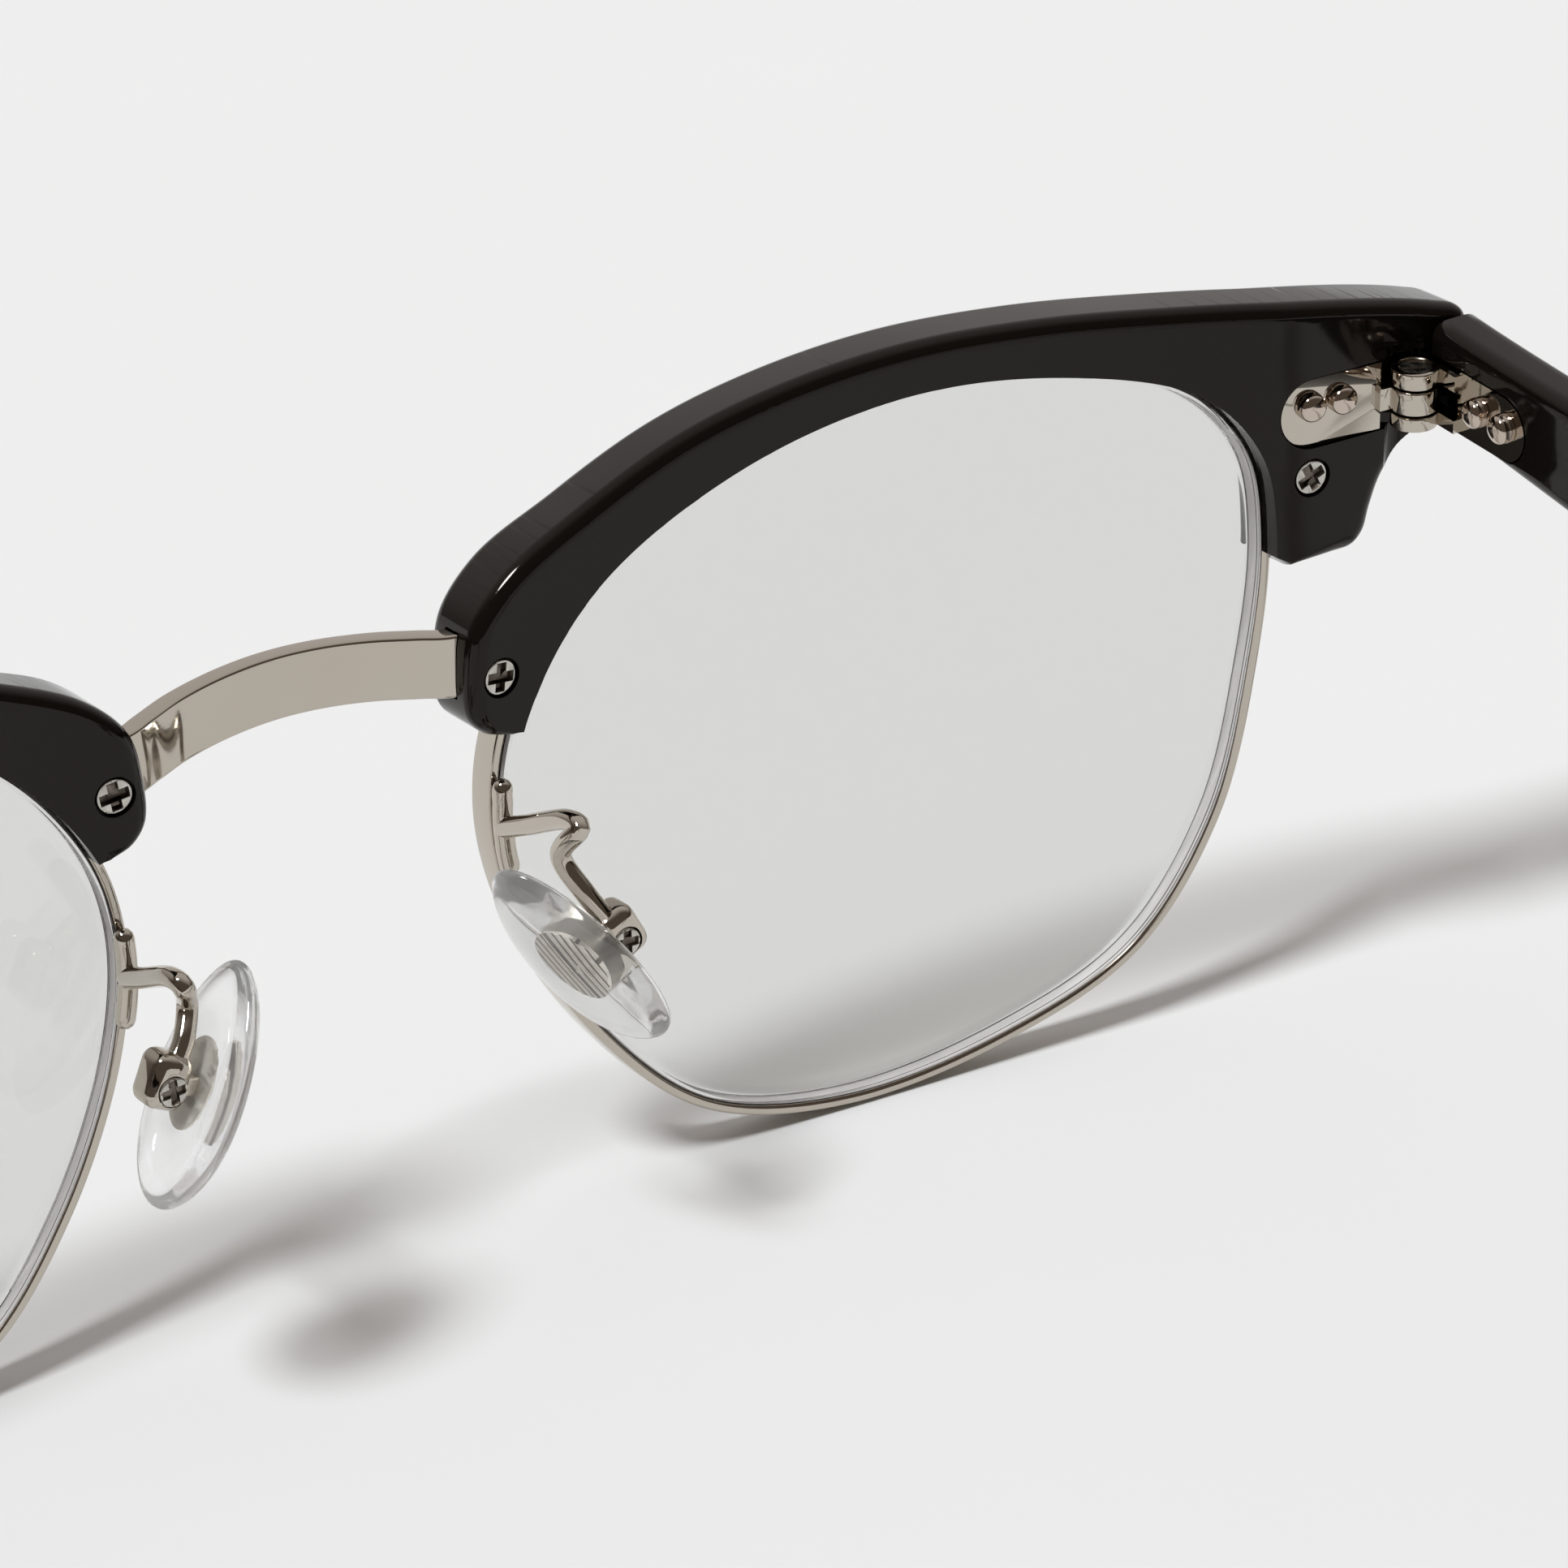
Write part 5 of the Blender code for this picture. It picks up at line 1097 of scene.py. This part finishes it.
class Paint:
    """A Principled material with helpers to lay nodes in front of its sockets."""

    def __init__(self, name, colour, roughness, metallic=0.0, **sockets):
        self.material = bpy.data.materials.new(name)
        self.material.use_nodes = True
        self.tree = self.material.node_tree
        self.shader = self.tree.nodes["Principled BSDF"]
        self.set(Base_Color=colour, Roughness=roughness, Metallic=metallic, **sockets)
        self.place = self.add("TexCoord", output="Object")

    def set(self, **sockets):
        """Set or link the shader's sockets, named with an underscore for each space."""
        for key, value in sockets.items():
            feed(self.tree, self.shader.inputs[key.replace("_", " ")], value)

    def add(self, kind, inputs=(), output=0, **settings):
        return add_node(self.tree, kind, inputs, output, **settings)

    def noise(self, scale, detail=3.0, stretch=None):
        source = self.place
        if stretch:
            source = self.add("Mapping", {"Vector": source, "Scale": stretch})
        return self.add("TexNoise", {"Vector": source, "Scale": scale, "Detail": detail}, "Fac")

    def spread(self, value, from_low, from_high, low, high):
        return self.add("MapRange", enumerate((value, from_low, from_high, low, high)))

    def blend(self, factor, first, second):
        return self.add("Mix", {0: factor, 6: first, 7: second}, 2, data_type="RGBA")

    def math(self, operation, first, second):
        return self.add("Math", {0: first, 1: second}, operation=operation)

    def specks(self, scale, size, share):
        """Scattered small round specks: 1 on a speck, 0 elsewhere."""
        cells = self.add("TexVoronoi", {"Vector": self.place, "Scale": scale}, "Distance")
        near = self.spread(cells, size * 0.5, size, 1.0, 0.0)
        parts = self.add("SeparateColor", {"Color": cells.node.outputs["Color"]})
        return self.math("MULTIPLY", near, self.math("LESS_THAN", parts, share))

    def bump(self, height, strength, distance):
        inputs = {"Strength": strength, "Distance": distance, "Height": height}
        self.set(Normal=self.add("Bump", inputs))


def acetate():
    """Polished black acetate: faint brown depth, polishing haze, hairlines and dust."""
    paint = Paint("polished black acetate", (0.004, 0.003, 0.0025), 0.06, IOR=1.49,
                  Specular_IOR_Level=0.26, Specular_Tint=(1.0, 0.92, 0.86))
    cloud = paint.noise(90.0, 4.0)
    dust = paint.specks(420.0, 0.035, 0.04)
    tone = paint.blend(cloud, (0.0036, 0.0028, 0.0022), (0.006, 0.0048, 0.0038))
    haze = paint.spread(paint.noise(35.0, 5.0), 0.3, 0.75, 0.04, 0.1)
    hair = paint.noise(900.0, 2.0, (1.0, 6.0, 9.0))
    lines = paint.spread(hair, 0.66, 0.72, 0.0, 0.12)
    paint.set(Base_Color=paint.blend(dust, tone, (0.3, 0.29, 0.27)),
              Roughness=paint.math("ADD", haze, lines))
    paint.bump(paint.noise(260.0, 3.0), 0.08, 0.02 * MM)
    return paint.material


def nickel(name, colour, rough):
    """Polished nickel silver: warm, with faint brushing and handling marks."""
    paint = Paint(name, colour, rough, 1.0)
    warm = tuple(c * k for c, k in zip(colour, (0.96, 0.92, 0.88)))
    brushed = paint.noise(1500.0, 2.0, (0.25, 1.0, 3.0))
    marks = paint.spread(paint.noise(220.0, 5.0), 0.35, 0.7, rough * 0.7, rough * 1.5)
    paint.set(Base_Color=paint.blend(paint.noise(140.0, 4.0), colour, warm),
              Roughness=paint.math("ADD", marks, paint.spread(brushed, 0.62, 0.78, 0.0, 0.07)))
    paint.bump(brushed, 0.06, 0.01 * MM)
    return paint.material


def steel(name, bright, dull, rough):
    """Turned steel screws: fine tool marks and a little grime."""
    paint = Paint(name, bright, rough, 1.0)
    grime = paint.spread(paint.noise(1100.0, 4.0), 0.5, 0.75, 0.0, 1.0)
    marks = paint.noise(3200.0, 2.0, (1.0, 0.3, 1.0))
    paint.set(Base_Color=paint.blend(grime, bright, dull),
              Roughness=paint.spread(marks, 0.3, 0.7, rough * 0.7, rough * 1.4))
    paint.bump(marks, 0.1, 0.01 * MM)
    return paint.material


def let_light_through(paint, colour):
    """Lamps and soft light pass straight through, so that the plastic throws a faint shadow."""
    path = paint.tree.nodes.new("ShaderNodeLightPath")
    clear = paint.add("BsdfTransparent", {"Color": colour})
    surface = paint.shader.outputs[0]
    for ray in ("Is Shadow Ray", "Is Diffuse Ray"):
        surface = paint.add("MixShader", {0: path.outputs[ray], 1: surface, 2: clear})
    feed(paint.tree, paint.tree.nodes["Material Output"].inputs["Surface"], surface)


def lens_paint():
    """Clear plano lens: a light grey tint, with faint smears."""
    paint = Paint("clear lens", (0.781, 0.783, 0.765), 0.0, IOR=1.5, Transmission_Weight=1.0)
    smear = paint.noise(60.0, 6.0, (1.0, 1.0, 2.5))
    paint.set(Roughness=paint.spread(smear, 0.6, 0.85, 0.0, 0.04))
    let_light_through(paint, (0.94, 0.938, 0.932))
    return paint.material


def lens_edge_paint(name, dark, bright, clear):
    """Lens edge bands with the fine lines of grinding: pale for the ground edge, dark for painted
    reflection lines.
    """
    paint = Paint(name, bright, 0.2, IOR=1.5, Transmission_Weight=clear)
    lines = paint.noise(700.0, 2.0, (0.4, 4.0, 0.4))
    paint.set(Base_Color=paint.blend(lines, dark, bright),
              Roughness=paint.spread(lines, 0.3, 0.7, 0.12, 0.3))
    paint.bump(paint.noise(2500.0, 2.0), 0.15, 0.01 * MM)
    return paint.material


def pad_paint():
    """Clear moulded pad: slightly milky, with soft flow lines and fine surface grain."""
    paint = Paint("clear moulded pad", (0.985, 0.987, 0.987), 0.03, IOR=1.46,
                  Transmission_Weight=0.86)
    flow = paint.noise(260.0, 3.0, (1.0, 1.0, 0.35))
    grain = paint.noise(500.0, 4.0)
    paint.set(Transmission_Weight=paint.spread(paint.noise(180.0, 4.0), 0.35, 0.7, 0.97, 0.8),
              Roughness=paint.spread(grain, 0.35, 0.75, 0.01, 0.05))
    paint.bump(flow, 0.3, 0.08 * MM)
    let_light_through(paint, (0.66, 0.655, 0.65))
    return paint.material


def floor_paint():
    """Matt pale paper sweep."""
    pale = (0.8, 0.8, 0.8)
    paint = Paint("pale paper", pale, 0.9, Specular_IOR_Level=0.2)
    paint.set(Base_Color=paint.blend(paint.noise(30.0, 5.0), pale, (0.81, 0.81, 0.81)))
    paint.bump(paint.noise(1500.0, 3.0), 0.05, 0.01 * MM)
    return paint.material


def make_floor(paint):
    """Large pale sheet under the glasses, denser towards its middle."""
    shape = bmesh.new()
    bmesh.ops.create_grid(shape, x_segments=24, y_segments=24, size=1.0)
    for vert in shape.verts:
        vert.co.x *= 0.4 + 3.6 * abs(vert.co.x)
        vert.co.y *= 0.4 + 3.6 * abs(vert.co.y)
    mesh = bpy.data.meshes.new("floor")
    shape.to_mesh(mesh)
    shape.free()
    mesh.shade_smooth()
    dress(mesh, paint)
    floor = in_scene("floor", mesh)


# Light and camera
CAMERA_PLACE = Vector((166.9, 313.4, 193.3)) * MM
CAMERA_WAY = Vector((-0.4666, -0.7384, -0.487))
CAMERA_TURN = 0.5635
CAMERA_ROLL = -0.014
CAMERA_LENS = 172.53
CAMERA_SENSOR = 36.0
KEY_WAY = Vector((-0.52, -0.02, -1.0))
KEY_SPREAD = math.radians(14.0)
KEY_STRENGTH = 2.52
KEY_COLOUR = (0.97, 1.0, 1.02)
PANEL_WAY = Vector((-0.35, -0.65, 0.67))
PANEL_COLOUR = (1.0, 0.955, 0.93)
PANEL_GLOW = 0.62
PANEL_EDGE = 0.15
PANEL_MIDDLE = 0.8
ROOM_COLOUR = (0.11, 0.09, 0.075)


def make_camera():
    """Long lens behind the wearer's left shoulder, looking down at the nose and right lens."""
    way = CAMERA_WAY.normalized()
    right = Vector((-math.cos(CAMERA_TURN), math.sin(CAMERA_TURN), 0.0))
    right = (right - way * right.dot(way)).normalized()
    up = right.cross(way)
    across = right * math.cos(CAMERA_ROLL) + up * math.sin(CAMERA_ROLL)
    above = up * math.cos(CAMERA_ROLL) - right * math.sin(CAMERA_ROLL)
    data = bpy.data.cameras.new("camera")
    data.lens = CAMERA_LENS
    data.sensor_width = CAMERA_SENSOR
    data.clip_start = 0.01
    data.clip_end = 10.0
    camera = in_scene("camera", data)
    camera.matrix_world = axes_at(ROOT + CAMERA_PLACE, across, above, -way)
    bpy.context.scene.camera = camera


def make_light():
    """A soft key from the wearer's left, a broad glowing panel in front, and a dim warm room."""
    data = bpy.data.lights.new("key", "SUN")
    data.energy = KEY_STRENGTH
    data.angle = KEY_SPREAD
    data.color = KEY_COLOUR
    key = in_scene("key", data)
    key.rotation_mode = "QUATERNION"
    key.rotation_quaternion = KEY_WAY.to_track_quat("-Z", "Y")
    world = bpy.data.worlds.new("studio")
    bpy.context.scene.world = world
    world.use_nodes = True
    tree = world.node_tree
    place = add_node(tree, "TexCoord", output="Generated")
    facing = add_node(tree, "VectorMath", {0: place, 1: PANEL_WAY.normalized()}, "Value",
                      operation="DOT_PRODUCT")
    share = add_node(tree, "MapRange", enumerate((facing, PANEL_EDGE, PANEL_MIDDLE, 0.0, 1.0)),
                     interpolation_type="SMOOTHSTEP")
    panel = [c * PANEL_GLOW for c in PANEL_COLOUR]
    glow = add_node(tree, "Mix", {0: share, 6: ROOM_COLOUR, 7: panel}, 2, data_type="RGBA")
    feed(tree, tree.nodes["Background"].inputs[0], glow)


def main():
    paint = {
        "acetate": acetate(),
        "nickel": nickel("nickel silver", (0.52, 0.485, 0.43), 0.05),
        "rivet": nickel("polished rivet", (0.55, 0.48, 0.42), 0.07),
        "screw": steel("turned steel", (0.56, 0.54, 0.5), (0.4, 0.375, 0.34), 0.22),
        # Painted shade: a dark material for faces sunk in screw recesses and between the insert's
        # ribs
        "recess": steel("painted recess shade", (0.2, 0.17, 0.145), (0.1, 0.085, 0.07), 0.4),
        # Pale nickel: a painted highlight on the hinge leaves' bevelled edges, and the insert's own
        # rough paint
        "pale nickel": steel("pale nickel for painted edge highlights and the insert", (0.85, 0.81, 0.74), (0.7, 0.65, 0.58), 0.4),
        "lens": lens_paint(),
        "lens edge": lens_edge_paint("ground lens edge", (0.72, 0.7, 0.71), (0.98, 0.96, 0.96),
                                     0.25),
        # Dark lines on the lens edge: painted reflections
        "lens edge line": lens_edge_paint("lens edge line", (0.03, 0.022, 0.016),
                                          (0.08, 0.065, 0.055), 0.0),
        "pad": pad_paint(),
    }
    piece("saddle_bridge", "bridge", "", bridge_solid(), paint["nickel"], flat_faces=True)
    for hand in HANDS:
        for make in (make_brow, make_rim, make_lens, make_brow_screws, make_hinge, make_temple,
                     make_pad, make_insert, make_pad_screw, make_arm):
            make(hand, paint)
        dress(frame["nodes"][f"rim_lock_screw_{hand}"].data, paint["screw"])
        dress(frame["nodes"][f"temple_core_{hand}"].data, paint["nickel"])
    make_floor(floor_paint())
    make_camera()
    make_light()
    bpy.context.scene.view_settings.view_transform = "Standard"


main()
